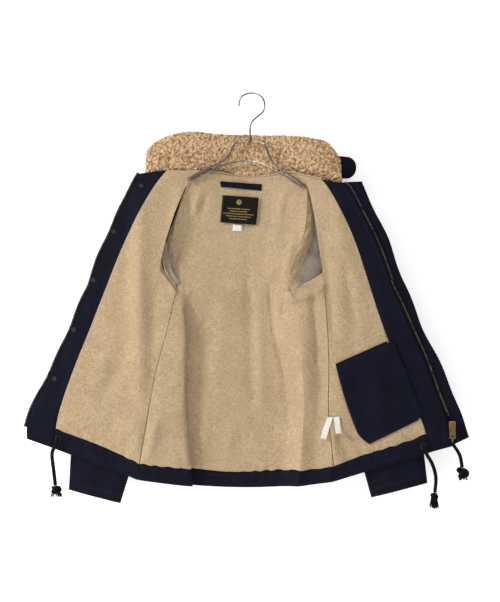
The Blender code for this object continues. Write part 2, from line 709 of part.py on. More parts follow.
def build_labels(back, right):
    back_surface = Surface(back)
    both = Surface(back, right)
    cloth("hang_loop", patch(back_surface, LOOP, 9, 2, 0.5 * MM, 2.0 * MM), FACING, material("navy cloth", NAVY, 0.75))
    cloth("neck_label", flattened(patch(back_surface, LABEL, 4, 3, 0.5 * MM), 0.6), PAPER,
          material("label", BLACK, 0.6))
    tag = material("white tag", WHITE, 0.7)
    cloth("size_tag", flattened(patch(back_surface, SIZE_TAG, 2, 2, 0.5 * MM)), PAPER, tag)
    for number, (lift, *corners) in enumerate(CARE_LABELS, 1):
        cloth(f"care_label_{number}", patch(both, corners, 2, 5, lift), PAPER, tag)


# Hardware

def build_snaps(surface):
    metal = material("dark snap metal", GUN_METAL, 0.4, 1.0)
    r = SNAP / 2
    profile = ((0, 0), (r, 0), (r, 0.9 * MM), (r * 0.82, 1.7 * MM), (r * 0.52, 1.8 * MM), (r * 0.42, 0.9 * MM),
               (0, 0.8 * MM))
    for number, (across, drop) in enumerate(SNAPS, 1):
        place = surface.rest(across, drop, SEAM)
        turned(f"snap_{number}", profile[::-1], place, metal, steps=12, axis="Y")


def build_eyelets(surface):
    metal = material("dark snap metal", GUN_METAL, 0.4, 1.0)
    outer, bore = EYELET / 2, DRAWCORD / 2 + 0.5 * MM
    rim = 1.6 * MM
    profile = ((bore, 0.2 * MM), (outer - rim * 0.6, 0), (outer, rim * 0.5), (outer - rim * 0.5, rim),
               (bore + 0.2 * MM, rim * 0.8), (bore, 0.2 * MM))
    for side, (across, drop) in EYELETS.items():
        place = surface.rest(across, drop, 0.5 * MM)
        turned(f"eyelet_{side}", profile[::-1], place, metal, steps=16, axis="Y")


def build_zip_pull(front_depth):
    """The slider with its two lugs and pin, and the tab, ring and cord that swing on the pin."""
    copper = material("copper", COPPER, 0.35, 1.0)
    brass = material("aged brass", BRASS, 0.45, 1.0)
    across, drop = SLIDER
    width, depth, height = (value * MM for value in SLIDER_SIZE)
    centre = point(across, drop)
    centre[1] = front_depth - depth / 2
    body = block("zip_slider", (width, depth, height), centre, copper, 1.6 * MM)
    pin_place = centre + np.array((0, -depth / 2 - BRIDGE_FORWARD * MM / 2, 3 * MM))
    for sign in (-1, 1):
        lug = block(f"lug_{sign}", (1.8 * MM, BRIDGE_FORWARD * MM, 6 * MM),
                    pin_place + np.array((sign * 4.9 * MM, 0.5 * MM, 0)), copper, 0.6 * MM, 1)
        joined(body, lug)
    bpy.ops.mesh.primitive_cylinder_add(vertices=12, radius=PIN / 2, depth=10.5 * MM, location=pin_place,
                                        rotation=(0, math.radians(90), 0))
    pin = bpy.context.object
    pin.name = "slider_pin"
    joined(body, pin)

    # The tab hangs from the pin: an eye, a plate and a round lower end with a hole for the ring
    plate_width, plate_depth, plate_height = (value * MM for value in PULL_SIZE)
    axis = bpy.data.objects.new("zip_pull_axis", None)
    bpy.data.collections["deck_jacket"].objects.link(axis)
    axis.location = pin_place
    bpy.ops.mesh.primitive_cylinder_add(vertices=16, radius=PULL_EYE / 2, depth=6.8 * MM, location=pin_place,
                                        rotation=(0, math.radians(90), 0))
    tab = bpy.context.object
    tab.name = "zip_pull_tab"
    keep(tab, brass)
    plate_centre = pin_place + np.array((0, 0, -plate_height / 2 - 1.0 * MM))
    plate = block("pull_plate", (plate_width, plate_depth, plate_height - 6 * MM),
                  plate_centre - np.array((0, 0, 3 * MM)), brass, 0.5 * MM, 1)
    neck = block("pull_neck", (6.4 * MM, plate_depth, 12 * MM), pin_place - np.array((0, 0, 6.5 * MM)), brass)
    bpy.ops.mesh.primitive_cylinder_add(vertices=12, radius=PIN / 2 + 0.35 * MM, depth=20 * MM,
                                        location=pin_place, rotation=(0, math.radians(90), 0))
    bore = bpy.context.object
    bore.name = "pull_bore"
    hole_place = pin_place + np.array((0, 0, -plate_height + 3.5 * MM))
    bpy.ops.mesh.primitive_cylinder_add(vertices=12, radius=2.4 * MM, depth=10 * MM, location=hole_place,
                                        rotation=(math.radians(90), 0, 0))
    hole = bpy.context.object
    hole.name = "pull_hole"
    joined(tab, neck)
    joined(tab, plate)
    joined(tab, bore, "DIFFERENCE")
    joined(tab, hole, "DIFFERENCE")

    # The ring goes through the hole and carries the cord
    ring_size, ring_wire = RING
    ring_centre = hole_place + np.array((0, 0, -ring_size / 2 - 1.1 * MM))
    bpy.ops.mesh.primitive_torus_add(major_radius=ring_size / 2, minor_radius=ring_wire / 2, major_segments=14,
                                     minor_segments=6, location=ring_centre,
                                     rotation=(0, math.radians(90), 0))
    ring = bpy.context.object
    ring.name = "zip_pull_ring"
    keep(ring, brass)
    below = ring_centre / MM
    start = (below[0], -below[2] + ring_size / MM / 2 + ring_wire / MM / 2 + 0.3, below[1])
    route = (start, (start[0] + 1.5, start[1] + 5, start[2]), *PULL_ROUTE[1:])
    build_cord("zip_pull_cord", route, PULL_CORD, knot_size=(30, 27, 28), knot_name="zip_pull_knot")


def build_cord(name, route, diameter, knot_size, knot_name):
    """A free cord and the knot that ends it, face to face."""
    black = material("black cord", BLACK, 0.85)
    points = spaced(route, 0.9 * diameter)
    wire(name, points, diameter, black)
    way = unit(points[-1] - points[-2])
    width, depth, height = (value * MM for value in knot_size)
    bpy.ops.mesh.primitive_uv_sphere_add(segments=12, ring_count=8, radius=0.5)
    knot = bpy.context.object
    knot.name = knot_name
    knot.scale = (width, depth, height)
    bpy.ops.object.transform_apply(location=False, rotation=False, scale=True)
    knot.rotation_euler = Vector(-way).to_track_quat("Z", "Y").to_euler()
    knot.location = points[-1] + way * (height / 2 + CORD_END_GAP)
    keep(knot, black, 60)
    return knot


def build_hanger():
    chrome = material("chromed wire", STEEL, 0.15, 1.0)
    wire("hanger_hook", spaced(HOOK, 5 * MM), WIRE, chrome)
    wire("hanger_top_wire", spaced(TOP_WIRE, 8 * MM), WIRE, chrome)
    wire("hanger_lower_wire", spaced(LOWER_WIRE, 9 * MM), WIRE, chrome)
    for side, place in TIPS.items():
        bpy.ops.mesh.primitive_uv_sphere_add(segments=14, ring_count=9, radius=TIP / 2, location=point(*place))
        tip = bpy.context.object
        tip.name = f"hanger_tip_{side}"
        keep(tip, chrome)
    width, top, bottom = FERRULE
    r, length = width / 2, (bottom - top) * MM
    profile = ((0, 0), (r, 0), (r * 1.15, -1 * MM), (r, -2 * MM), (r, 1.5 * MM - length), (r * 1.2, -length),
               (0, -length))
    turned("hanger_ferrule", profile, point(-4, top), chrome, steps=16)


def clear_scene():
    for obj in list(bpy.data.objects):
        bpy.data.objects.remove(obj)
    for name in ("deck_jacket", "cutters"):
        collection = bpy.data.collections.new(name)
        bpy.context.scene.collection.children.link(collection)
    bpy.data.collections["cutters"].hide_render = True


def main():
    clear_scene()
    left, left_lining = build_front("left", LEFT_FRONT, LEFT_FOLDS)
    right, right_lining = build_front("right", RIGHT_FRONT, RIGHT_FOLDS)
    back, back_lining = build_back(left, right)
    build_sleeve("left", LEFT_SLEEVE, left, back)
    build_sleeve("right", RIGHT_SLEEVE, right, back)
    build_flap(right)
    build_tapes(left, right)
    build_collar()
    build_pocket(Surface(right_lining))
    build_labels(back_lining, right_lining)
    build_hanger()
    objects = bpy.data.objects
    build_snaps(Surface(objects["front_left_facing"]))
    build_eyelets(Surface(objects["front_left_facing"], objects["hem_band_left"],
                          objects["front_right_facing"], objects["hem_band_right"]))
    build_zip_pull(-LAYER_GAP / 2 - FACING - SEAM)
    build_cord("drawcord_left", LEFT_CORD, DRAWCORD, (26, 22, 26), "drawcord_knot_left")
    build_cord("drawcord_right", RIGHT_CORD, DRAWCORD, (20, 18, 34), "drawcord_knot_right")


main()
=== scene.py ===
"""The looks of a deck jacket that hangs open on a wire hanger.

Tables are in millimetres: "across" is +X, "drop" is the distance below the hang point and
"depth" is +Y, away from the viewer. The cloth pieces are made from the frame's own panels.
All layers of the body are moved by the same tables, so they keep their spacing.
"""

import math
import random

import bmesh
import bpy
import numpy as np
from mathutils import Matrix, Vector, noise
from mathutils.bvhtree import BVHTree


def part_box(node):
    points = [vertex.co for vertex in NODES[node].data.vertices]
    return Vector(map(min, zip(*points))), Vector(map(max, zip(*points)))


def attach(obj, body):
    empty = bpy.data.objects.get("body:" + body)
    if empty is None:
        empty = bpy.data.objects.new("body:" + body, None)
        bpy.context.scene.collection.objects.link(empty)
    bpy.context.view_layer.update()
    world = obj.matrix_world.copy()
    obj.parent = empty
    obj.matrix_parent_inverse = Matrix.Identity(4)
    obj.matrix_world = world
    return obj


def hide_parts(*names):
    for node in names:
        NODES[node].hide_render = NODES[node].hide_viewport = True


MM = 0.001
BODY = "jacket"
PULL = "zip_pull"

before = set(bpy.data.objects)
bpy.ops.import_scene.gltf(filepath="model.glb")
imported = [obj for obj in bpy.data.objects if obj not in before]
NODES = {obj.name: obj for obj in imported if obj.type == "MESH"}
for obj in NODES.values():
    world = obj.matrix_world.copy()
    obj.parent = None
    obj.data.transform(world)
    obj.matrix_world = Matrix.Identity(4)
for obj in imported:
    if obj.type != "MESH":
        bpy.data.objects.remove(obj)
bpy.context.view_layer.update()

# Free cords, from the eyelet or the ring to the knot
LEFT_CORD = ((-407.4, 721, -4.3), (-407.6, 722.5, -9), (-409.4, 729.5, -12), (-414, 739, -12), (-418.5, 751, -10.5),
             (-418, 768, -8), (-415.5, 790, -6), (-412.4, 819, -5))
RIGHT_CORD = ((360.4, 738, -4.3), (360.7, 739.5, -9), (362.5, 746.5, -12), (367, 756, -12), (376, 771, -10),
              (383, 790, -8), (385.5, 808, -6.5), (383.5, 834, -6))
CORD_SIZE = 7.5 * MM
FRAY_STRANDS, FRAY_RADIUS = 46, 0.62 * MM

# The zip: the edge that each row of teeth stands on
LEFT_ZIP = ((-236, 165), (-254, 198), (-304, 305), (-329, 366), (-343, 406), (-350, 421), (-383, 500),
            (-418, 576), (-461, 660), (-474, 698))
RIGHT_ZIP = ((193, 186), (211, 208), (257, 302), (281, 358), (290, 386), (292, 400), (336, 492), (372, 580),
             (408, 674))

# Soft creases of the open fronts and the back: both ends, half width, and height towards the viewer
CREASES = (
    (-235, 230, -237, 615, 17, 3.2), (-262, 260, -268, 560, 14, -1.0), (-205, 420, -214, 640, 13, -1.6),
    (-150, 205, -172, 300, 11, 2.0), (-277, 569, -319, 632, 15, -2.0), (-264, 600, -282, 640, 10, 1.2),
    (-196, 680, -218, 762, 10, 3.0), (-222, 690, -234, 755, 8, -2.2), (-300, 520, -330, 640, 16, 1.2),
    (-250, 700, -300, 736, 10, 1.4), (-110, 214, -124, 240, 9, 2.2), (-96, 205, -110, 262, 9, -1.4),
    (-8, 330, 2, 640, 13, -1.8), (14, 420, 22, 700, 14, 1.4), (-60, 430, -78, 700, 20, 1.6),
    (38, 400, 46, 493, 7, -2.4), (46, 493, 71, 598, 7, -2.2), (71, 598, 80, 690, 8, -1.6),
    (58, 240, 40, 400, 14, 1.8), (66, 206, 60, 250, 9, 1.6), (76, 412, 84, 431, 8, 4.0),
    (84, 431, 113, 424, 8, 4.0), (113, 424, 150, 402, 8, 3.0), (68, 436, 66, 470, 8, -3.0),
    (106, 470, 112, 640, 18, 2.0), (128, 400, 138, 560, 7, -1.6), (88, 300, 66, 400, 9, 2.0),
    (116, 250, 104, 300, 9, 1.2), (185, 260, 236, 470, 18, 2.0), (151, 300, 171, 504, 10, -1.8),
    (196, 350, 214, 470, 9, -1.0), (168, 700, 176, 760, 8, 2.0), (186, 720, 200, 752, 8, -1.4),
    (-40, 700, -52, 772, 12, 1.4), (96, 690, 104, 770, 12, 1.6), (-96, 640, -104, 770, 12, 1.6),
    (236, 520, 286, 700, 22, 1.2), (262, 590, 316, 572, 9, 1.2), (236, 640, 300, 618, 9, -1.0),
)
# Creases of the sleeves, seen from behind
SLEEVE_CREASES = (
    (-230, 330, -300, 420, 14, 2.6), (-220, 380, -280, 470, 10, -2.0), (-250, 540, -330, 575, 12, 2.4),
    (-262, 575, -340, 600, 9, -1.8), (-262, 640, -330, 660, 12, 2.0), (-300, 700, -330, 800, 16, 1.8),
    (200, 340, 270, 430, 14, 2.6), (196, 400, 250, 480, 10, -2.0), (230, 545, 310, 560, 12, 2.4),
    (240, 580, 320, 604, 9, -1.8), (240, 650, 310, 662, 12, 2.0), (280, 700, 310, 790, 16, 1.8),
)
CUFF_CREASES = (
    (-372, 776, -276, 806, 7, 1.8), (-374, 792, -300, 812, 5, -1.6), (-350, 780, -344, 850, 9, 1.6),
    (-318, 800, -312, 862, 8, -1.6), (-376, 822, -290, 846, 6, 1.2), (240, 800, 352, 770, 7, 1.8),
    (262, 808, 356, 786, 5, -1.6), (290, 780, 296, 850, 9, 1.6), (330, 770, 336, 830, 8, -1.4),
    (262, 838, 360, 808, 6, 1.2),
)
BAND_LINE = ((-474, 698), (-412, 699), (-236, 772), (-133, 793), (-5, 794), (98, 793), (172, 779), (366, 712),
             (424, 706))
# Side seams of the lining and of the hem band: across, drop and depth
LEFT_SEAM = ((-158, 412, 0), (-162, 426, 0), (-179, 500, 0), (-201, 576, 0), (-217, 665, 0), (-236, 772, 0))
RIGHT_SEAM = ((152, 398, 0), (160, 494, 0), (163, 580, 0), (161, 672, 0), (172, 779, 0))
NECK_SEAM = ((-178, 160.5, 0), (-120, 160, 4), (-78, 160, 7), (-40, 166, 17), (0, 168.5, 22), (40, 166, 19),
             (76, 161, 7), (110, 168, 4), (146, 175.5, 0))
# Turned edges of the armholes: each row is a place at the lining's edge and one inside the sleeve
LEFT_ARMHOLE = (
    (-131, 182, 7, -138, 184, 9), (-147, 240, 15, -158, 242, 19), (-163, 290, 23, -176, 291, 25),
    (-170, 330, 25, -184, 330, 26), (-165, 366, 21, -183, 364, 24), (-158, 395, 12, -178, 388, 20),
    (-156, 420, 4, -176, 398, 16),
)
LEFT_ARMHOLE_FOOT = (
    (-158, 430, 1, -160, 396, 6), (-170, 422, 1, -169, 386, 6), (-184, 406, 1, -177, 372, 6),
    (-198, 390, 1, -183, 358, 6), (-202, 370, 1, -187, 344, 6), (-202, 345, 1, -189, 330, 6),
    (-198, 325, 1, -188, 312, 6),
)
# The satin that shows in the left sleeve's mouth, in the same kind of rows
LEFT_MOUTH = (
    (-160, 402, 7.2, -152, 392, 8.2), (-177, 396, 7.2, -160, 382, 8.2), (-192, 384, 7.2, -167, 368, 8.2),
    (-203, 369, 7.2, -172, 352, 8.2), (-207, 351, 7.2, -176, 338, 8.2), (-206, 333, 7.2, -178, 322, 8.2),
    (-199, 313, 7.2, -178, 308, 8.2),
)
RIGHT_ARMHOLE = (
    (111, 186, 11, 123, 190, 14), (110, 240, 12, 138, 242, 20), (107, 296, 12, 130, 296, 23),
    (91, 334, 12, 117, 332, 23), (74, 366, 12, 110, 360, 23), (70, 392, 9, 107, 382, 22),
    (78, 414, 6, 108, 396, 20), (105, 416, 2, 122, 390, 18), (130, 408, -1, 138, 380, 17),
    (153, 401, -2, 152, 370, 16),
)
# Hard pieces that lie on the cloth: the cloth stays flat round them
HARD_SPOTS = ((-232.5, 190), (-290.4, 286.6), (-332.5, 388.5), (-374.5, 492), (-414, 595.4), (-407.4, 721),
              (360.4, 738), (420, 693), (-130.6, 177), (108.6, 191.5))
# The woven label's corners, round from its upper left one
LABEL_CORNERS = ((-62, 209), (14, 214), (9, 271.5), (-67, 266))
# Scallops of the left edge: the first snap's drop, the way to the next snap, and where they end
FIRST_SNAP, SNAP_STEP, SCALLOP_END = 190, 101.4, 690
# Teeth: their pitch, their near and far face, and the reach and half width of both ends
TOOTH_PITCH, TOOTH_DEPTHS, TOOTH_ENDS = 2.7, (-1.9, -0.3), ((3.4, 0.75), (6.6, 0.5))
# Tapes: points this far apart along the edge and at these reaches from it, at this depth
TAPE_STEP, TAPE_REACHES, TAPE_DEPTH = 4, (-7, -2, 3, 6.4), 0.35
# One stitch: share of its length, share of its width to either side, and height
STITCH = ((-0.5, 0.25, 0.02), (-0.25, 0.5, 0.32), (0.25, 0.5, 0.32), (0.5, 0.25, 0.02))
STITCH_WIDTH = 0.9
SHEET_THICKNESS = 0.8
# How far the navy edge of an armhole lies behind the wool one
OUTSIDE = 1.4
# Down to this drop, in metres, the sleeves' satin is rumpled, and over this way it fades
SATIN_END, SATIN_FADE = 0.47, 0.06
# Angles between faces: flatter ones join to quads, sharper edges are held, or shaded sharp
JOINED, HELD, SHARP = math.radians(50), math.radians(38), math.radians(50)
# Metres
WALL_DEPTH, FLOOR_LEVEL = 0.062, -1.25


# Camera, floor and light

def placed(name, data):
    """A new object of the scene with this data."""
    obj = bpy.data.objects.new(name, data)
    bpy.context.scene.collection.objects.link(obj)
    return obj


def build_camera():
    data = bpy.data.cameras.new("camera")
    data.lens = 85.4
    data.sensor_width = 36
    data.clip_start, data.clip_end = 0.05, 60
    camera = placed("camera", data)
    camera.location = (-0.0042, -3.0, -0.4326)
    camera.rotation_euler = (math.radians(90), 0, 0)
    bpy.context.scene.camera = camera


def area_light(name, place, aim, size, power, colour=(1, 1, 1)):
    data = bpy.data.lights.new(name, "AREA")
    data.shape = "DISK"
    data.size = size
    data.energy = power
    data.color = colour
    light = placed(name, data)
    light.location = place
    light.rotation_euler = (Vector(aim) - Vector(place)).to_track_quat("-Z", "Y").to_euler()


def stage_plane(name, corners, paint, colour, roughness):
    """A flat piece of the stage in its own paint. Returns the paint's nodes."""
    mesh = bpy.data.meshes.new(name)
    mesh.from_pydata(corners, [], [(0, 1, 2, 3)])
    placed(name, mesh)
    made = bpy.data.materials.new(paint)
    made.use_nodes = True
    mesh.materials.append(made)
    shader = made.node_tree.nodes["Principled BSDF"]
    shader.inputs["Base Color"].default_value = colour
    shader.inputs["Roughness"].default_value = roughness
    return made.node_tree


def build_studio():
    """A white wall close behind, seen from the front alone, a pale floor and soft light from the upper left.

    The wall casts no shadow, so the lamp behind it lights the back of the jacket.
    """
    scene = bpy.context.scene
    scene.view_settings.view_transform = "Standard"
    world = bpy.data.worlds.new("studio")
    scene.world = world
    world.use_nodes = True
    world.node_tree.nodes["Background"].inputs["Color"].default_value = (0.93, 0.95, 1.0, 1)
    world.node_tree.nodes["Background"].inputs["Strength"].default_value = 0.34
    area_light("key", (-2.5, -1.5, 0.9), (0.0, 0, -0.45), 0.7, 78, (1, 0.985, 0.95))
    area_light("top", (0.5, -1.7, 1.7), (0, 0, -0.45), 0.9, 20, (1, 0.99, 0.97))
    area_light("rear", (-1.6, 2.2, 1.1), (0, 0, -0.5), 1.2, 150)

    tree = stage_plane("wall", [(x, WALL_DEPTH, z) for x, z in ((-4, -3), (4, -3), (4, 3), (-4, 3))],
                       "wall white", (0.86, 0.86, 0.86, 1), 1.0)
    shader = tree.nodes["Principled BSDF"]
    shader.inputs["Emission Color"].default_value = (1, 1, 1, 1)
    shader.inputs["Emission Strength"].default_value = 0.5
    away = put(tree, "NewGeometry").outputs["Backfacing"]
    shadow = put(tree, "LightPath").outputs["Is Shadow Ray"]
    clear = put(tree, "BsdfTransparent").outputs[0]
    mix = put(tree, "MixShader", {0: maths(tree, "MAXIMUM", away, shadow), 1: shader.outputs[0], 2: clear})
    tree.links.new(mix.outputs[0], tree.nodes["Material Output"].inputs["Surface"])

    stage_plane("floor", [(x, y, FLOOR_LEVEL) for x, y in ((-6, -6), (6, -6), (6, 6), (-6, 6))],
                "floor pale", (0.82, 0.82, 0.81, 1), 0.9)


# Finishes

def group(name, inputs, outputs):
    """A node group with named sockets. inputs: name to (kind, value); outputs: name to kind."""
    tree = bpy.data.node_groups.new(name, "ShaderNodeTree")
    for label, (kind, value) in inputs.items():
        socket = tree.interface.new_socket(name=label, in_out="INPUT", socket_type="NodeSocket" + kind)
        socket.default_value = value
    for label, kind in outputs.items():
        tree.interface.new_socket(name=label, in_out="OUTPUT", socket_type="NodeSocket" + kind)
    return tree, tree.nodes.new("NodeGroupInput").outputs, tree.nodes.new("NodeGroupOutput").inputs


def put(tree, kind, links=None, **values):
    """A node with its settings and its incoming links or values, each by socket name or number."""
    made = tree.nodes.new("ShaderNode" + kind)
    for name, value in values.items():
        setattr(made, name, value)
    for socket, source in (links or {}).items():
        if isinstance(source, bpy.types.NodeSocket):
            tree.links.new(source, made.inputs[socket])
        else:
            made.inputs[socket].default_value = source
    return made


def maths(tree, operation, a, b=0.0):
    return put(tree, "Math", {0: a, 1: b}, operation=operation).outputs[0]


def blended(tree, factor, a, b):
    return put(tree, "Mix", {0: factor, 6: a, 7: b}, data_type="RGBA").outputs[2]


def cloud(tree, place, scale, detail=2.0, roughness=0.5, distortion=0.0):
    return put(tree, "TexNoise", {"Vector": place, "Scale": scale, "Detail": detail, "Roughness": roughness,
                                  "Distortion": distortion}).outputs["Fac"]


def scaled(tree, place, by):
    return put(tree, "VectorMath", {0: place, 1: by}, operation="MULTIPLY").outputs[0]


def mapped(tree, source, low, high, new_low=0.0, new_high=1.0):
    return put(tree, "MapRange", {0: source, 1: low, 2: high, 3: new_low, 4: new_high}).outputs[0]


def build_cloth_group():
    """Woven or napped cloth: broad shading, threads that run across, and sparse flecks."""
    tree, given, out = group("cloth surface", {
        "Colour": ("Color", (0.5, 0.4, 0.25, 1)), "Shade": ("Color", (0.3, 0.2, 0.1, 1)),
        "Fleck": ("Color", (0.1, 0.08, 0.05, 1)), "Mottle": ("Float", 0.4), "Mottle Scale": ("Float", 30.0),
        "Thread Scale": ("Float", 900.0), "Thread Stretch": ("Float", 4.0), "Thread Shade": ("Float", 0.25),
        "Fleck Share": ("Float", 0.2), "Roughness": ("Float", 0.9),
    }, {"Colour": "Color", "Roughness": "Float", "Height": "Float"})
    place = put(tree, "TexCoord").outputs["Object"]
    across = put(tree, "CombineXYZ", {0: 1.0, 1: 1.0, 2: given["Thread Stretch"]}).outputs[0]
    upright = put(tree, "CombineXYZ", {0: given["Thread Stretch"], 1: 1.0, 2: 1.0}).outputs[0]
    broad = cloud(tree, place, given["Mottle Scale"], 5.0, 0.62)
    threads = cloud(tree, scaled(tree, place, across), given["Thread Scale"], 3.0, 0.6)
    warp = cloud(tree, scaled(tree, place, upright), given["Thread Scale"])
    weave = maths(tree, "ADD", maths(tree, "MULTIPLY", threads, 0.6), maths(tree, "MULTIPLY", warp, 0.4))
    spots = mapped(tree, cloud(tree, place, 260.0), 0.68, 0.73)
    spots = maths(tree, "MULTIPLY", spots, given["Fleck Share"])
    shade = maths(tree, "MULTIPLY", mapped(tree, broad, 0.35, 0.68), given["Mottle"])
    colour = blended(tree, shade, given["Colour"], given["Shade"])
    dark = maths(tree, "MULTIPLY", mapped(tree, weave, 0.62, 0.38), given["Thread Shade"])
    colour = blended(tree, dark, colour, given["Shade"])
    colour = blended(tree, spots, colour, given["Fleck"])
    tree.links.new(colour, out["Colour"])
    rough = maths(tree, "ADD", given["Roughness"], mapped(tree, threads, 0.3, 0.7, -0.05, 0.05))
    tree.links.new(rough, out["Roughness"])
    tree.links.new(maths(tree, "ADD", weave, maths(tree, "MULTIPLY", broad, 0.35)), out["Height"])
    return tree


def build_curl_group():
    """Curly pile: the pile's own colour on the tips, painted shade in the gaps between curls, and fine fibres wound
    over each curl, with broad patches that vary the tone at random.
    """
    tree, given, out = group("curled pile", {
        "Tip": ("Color", (0.7, 0.5, 0.3, 1)), "Gap Shade": ("Color", (0.2, 0.1, 0.05, 1)), "Scale": ("Float", 190.0),
    }, {"Colour": "Color", "Roughness": "Float", "Height": "Float"})
    place = put(tree, "TexCoord").outputs["Object"]
    drift = put(tree, "TexNoise", {"Vector": place, "Scale": 120.0, "Detail": 2.0}).outputs["Color"]
    drift = scaled(tree, drift, (0.006, 0.006, 0.006))
    warped = put(tree, "VectorMath", {0: place, 1: drift}, operation="ADD").outputs[0]
    cells = put(tree, "TexVoronoi", {"Vector": warped, "Scale": given["Scale"], "Smoothness": 0.6},
                feature="SMOOTH_F1").outputs["Distance"]
    fibres = cloud(tree, warped, 900.0, 3.0, distortion=1.2)
    patches = cloud(tree, place, 22.0, 3.0)
    # Painted shade: the colour darkens from each curl's tip into the gaps between curls; the fibres and broad
    # patches below add random tone
    depth = mapped(tree, cells, 0.22, 0.75)
    depth = maths(tree, "ADD", depth, mapped(tree, fibres, 0.3, 0.7, -0.16, 0.16))
    depth = maths(tree, "ADD", depth, mapped(tree, patches, 0.3, 0.7, -0.12, 0.16))
    clamped = put(tree, "Clamp", {0: depth}).outputs[0]
    tree.links.new(blended(tree, clamped, given["Tip"], given["Gap Shade"]), out["Colour"])
    tree.links.new(mapped(tree, fibres, 0.3, 0.7, 0.9, 1.0), out["Roughness"])
    tree.links.new(maths(tree, "SUBTRACT", 1.0, depth), out["Height"])
    return tree


def build_wear_group():
    """Handled metal: dull patches and fine scratches over a bright base."""
    tree, given, out = group("handled metal", {
        "Colour": ("Color", (0.5, 0.5, 0.5, 1)), "Tarnish": ("Color", (0.2, 0.15, 0.1, 1)),
        "Amount": ("Float", 0.5), "Roughness": ("Float", 0.25), "Scale": ("Float", 300.0),
    }, {"Colour": "Color", "Roughness": "Float", "Height": "Float"})
    place = put(tree, "TexCoord").outputs["Object"]
    patches = cloud(tree, place, given["Scale"], 6.0, 0.7)
    lines = cloud(tree, scaled(tree, place, (1.0, 1.0, 8.0)), 1500.0)
    dull = maths(tree, "MULTIPLY", mapped(tree, patches, 0.42, 0.62), given["Amount"])
    tree.links.new(blended(tree, dull, given["Colour"], given["Tarnish"]), out["Colour"])
    tree.links.new(maths(tree, "ADD", given["Roughness"], maths(tree, "MULTIPLY", dull, 0.3)), out["Roughness"])
    tree.links.new(maths(tree, "ADD", lines, patches), out["Height"])
    return tree


def finish_of(name, source, values, bump, distance, metallic=0.0, sheen=0.0, sheen_tint=(1, 1, 1, 1),
              gloss=0.12):
    """A material whose shader takes colour, roughness and height from a shared group."""
    made = bpy.data.materials.new(name)
    made.use_nodes = True
    tree = made.node_tree
    shader = tree.nodes["Principled BSDF"]
    surface = tree.nodes.new("ShaderNodeGroup")
    surface.node_tree = source
    for label, value in values.items():
        surface.inputs[label].default_value = value
    tree.links.new(surface.outputs["Colour"], shader.inputs["Base Color"])
    tree.links.new(surface.outputs["Roughness"], shader.inputs["Roughness"])
    relief = put(tree, "Bump", {"Strength": bump, "Distance": distance, "Height": surface.outputs["Height"]})
    tree.links.new(relief.outputs["Normal"], shader.inputs["Normal"])
    shader.inputs["Metallic"].default_value = metallic
    shader.inputs["Specular IOR Level"].default_value = 0.5 if metallic else gloss
    shader.inputs["Sheen Weight"].default_value = sheen
    shader.inputs["Sheen Roughness"].default_value = 0.5
    shader.inputs["Sheen Tint"].default_value = sheen_tint
    return made


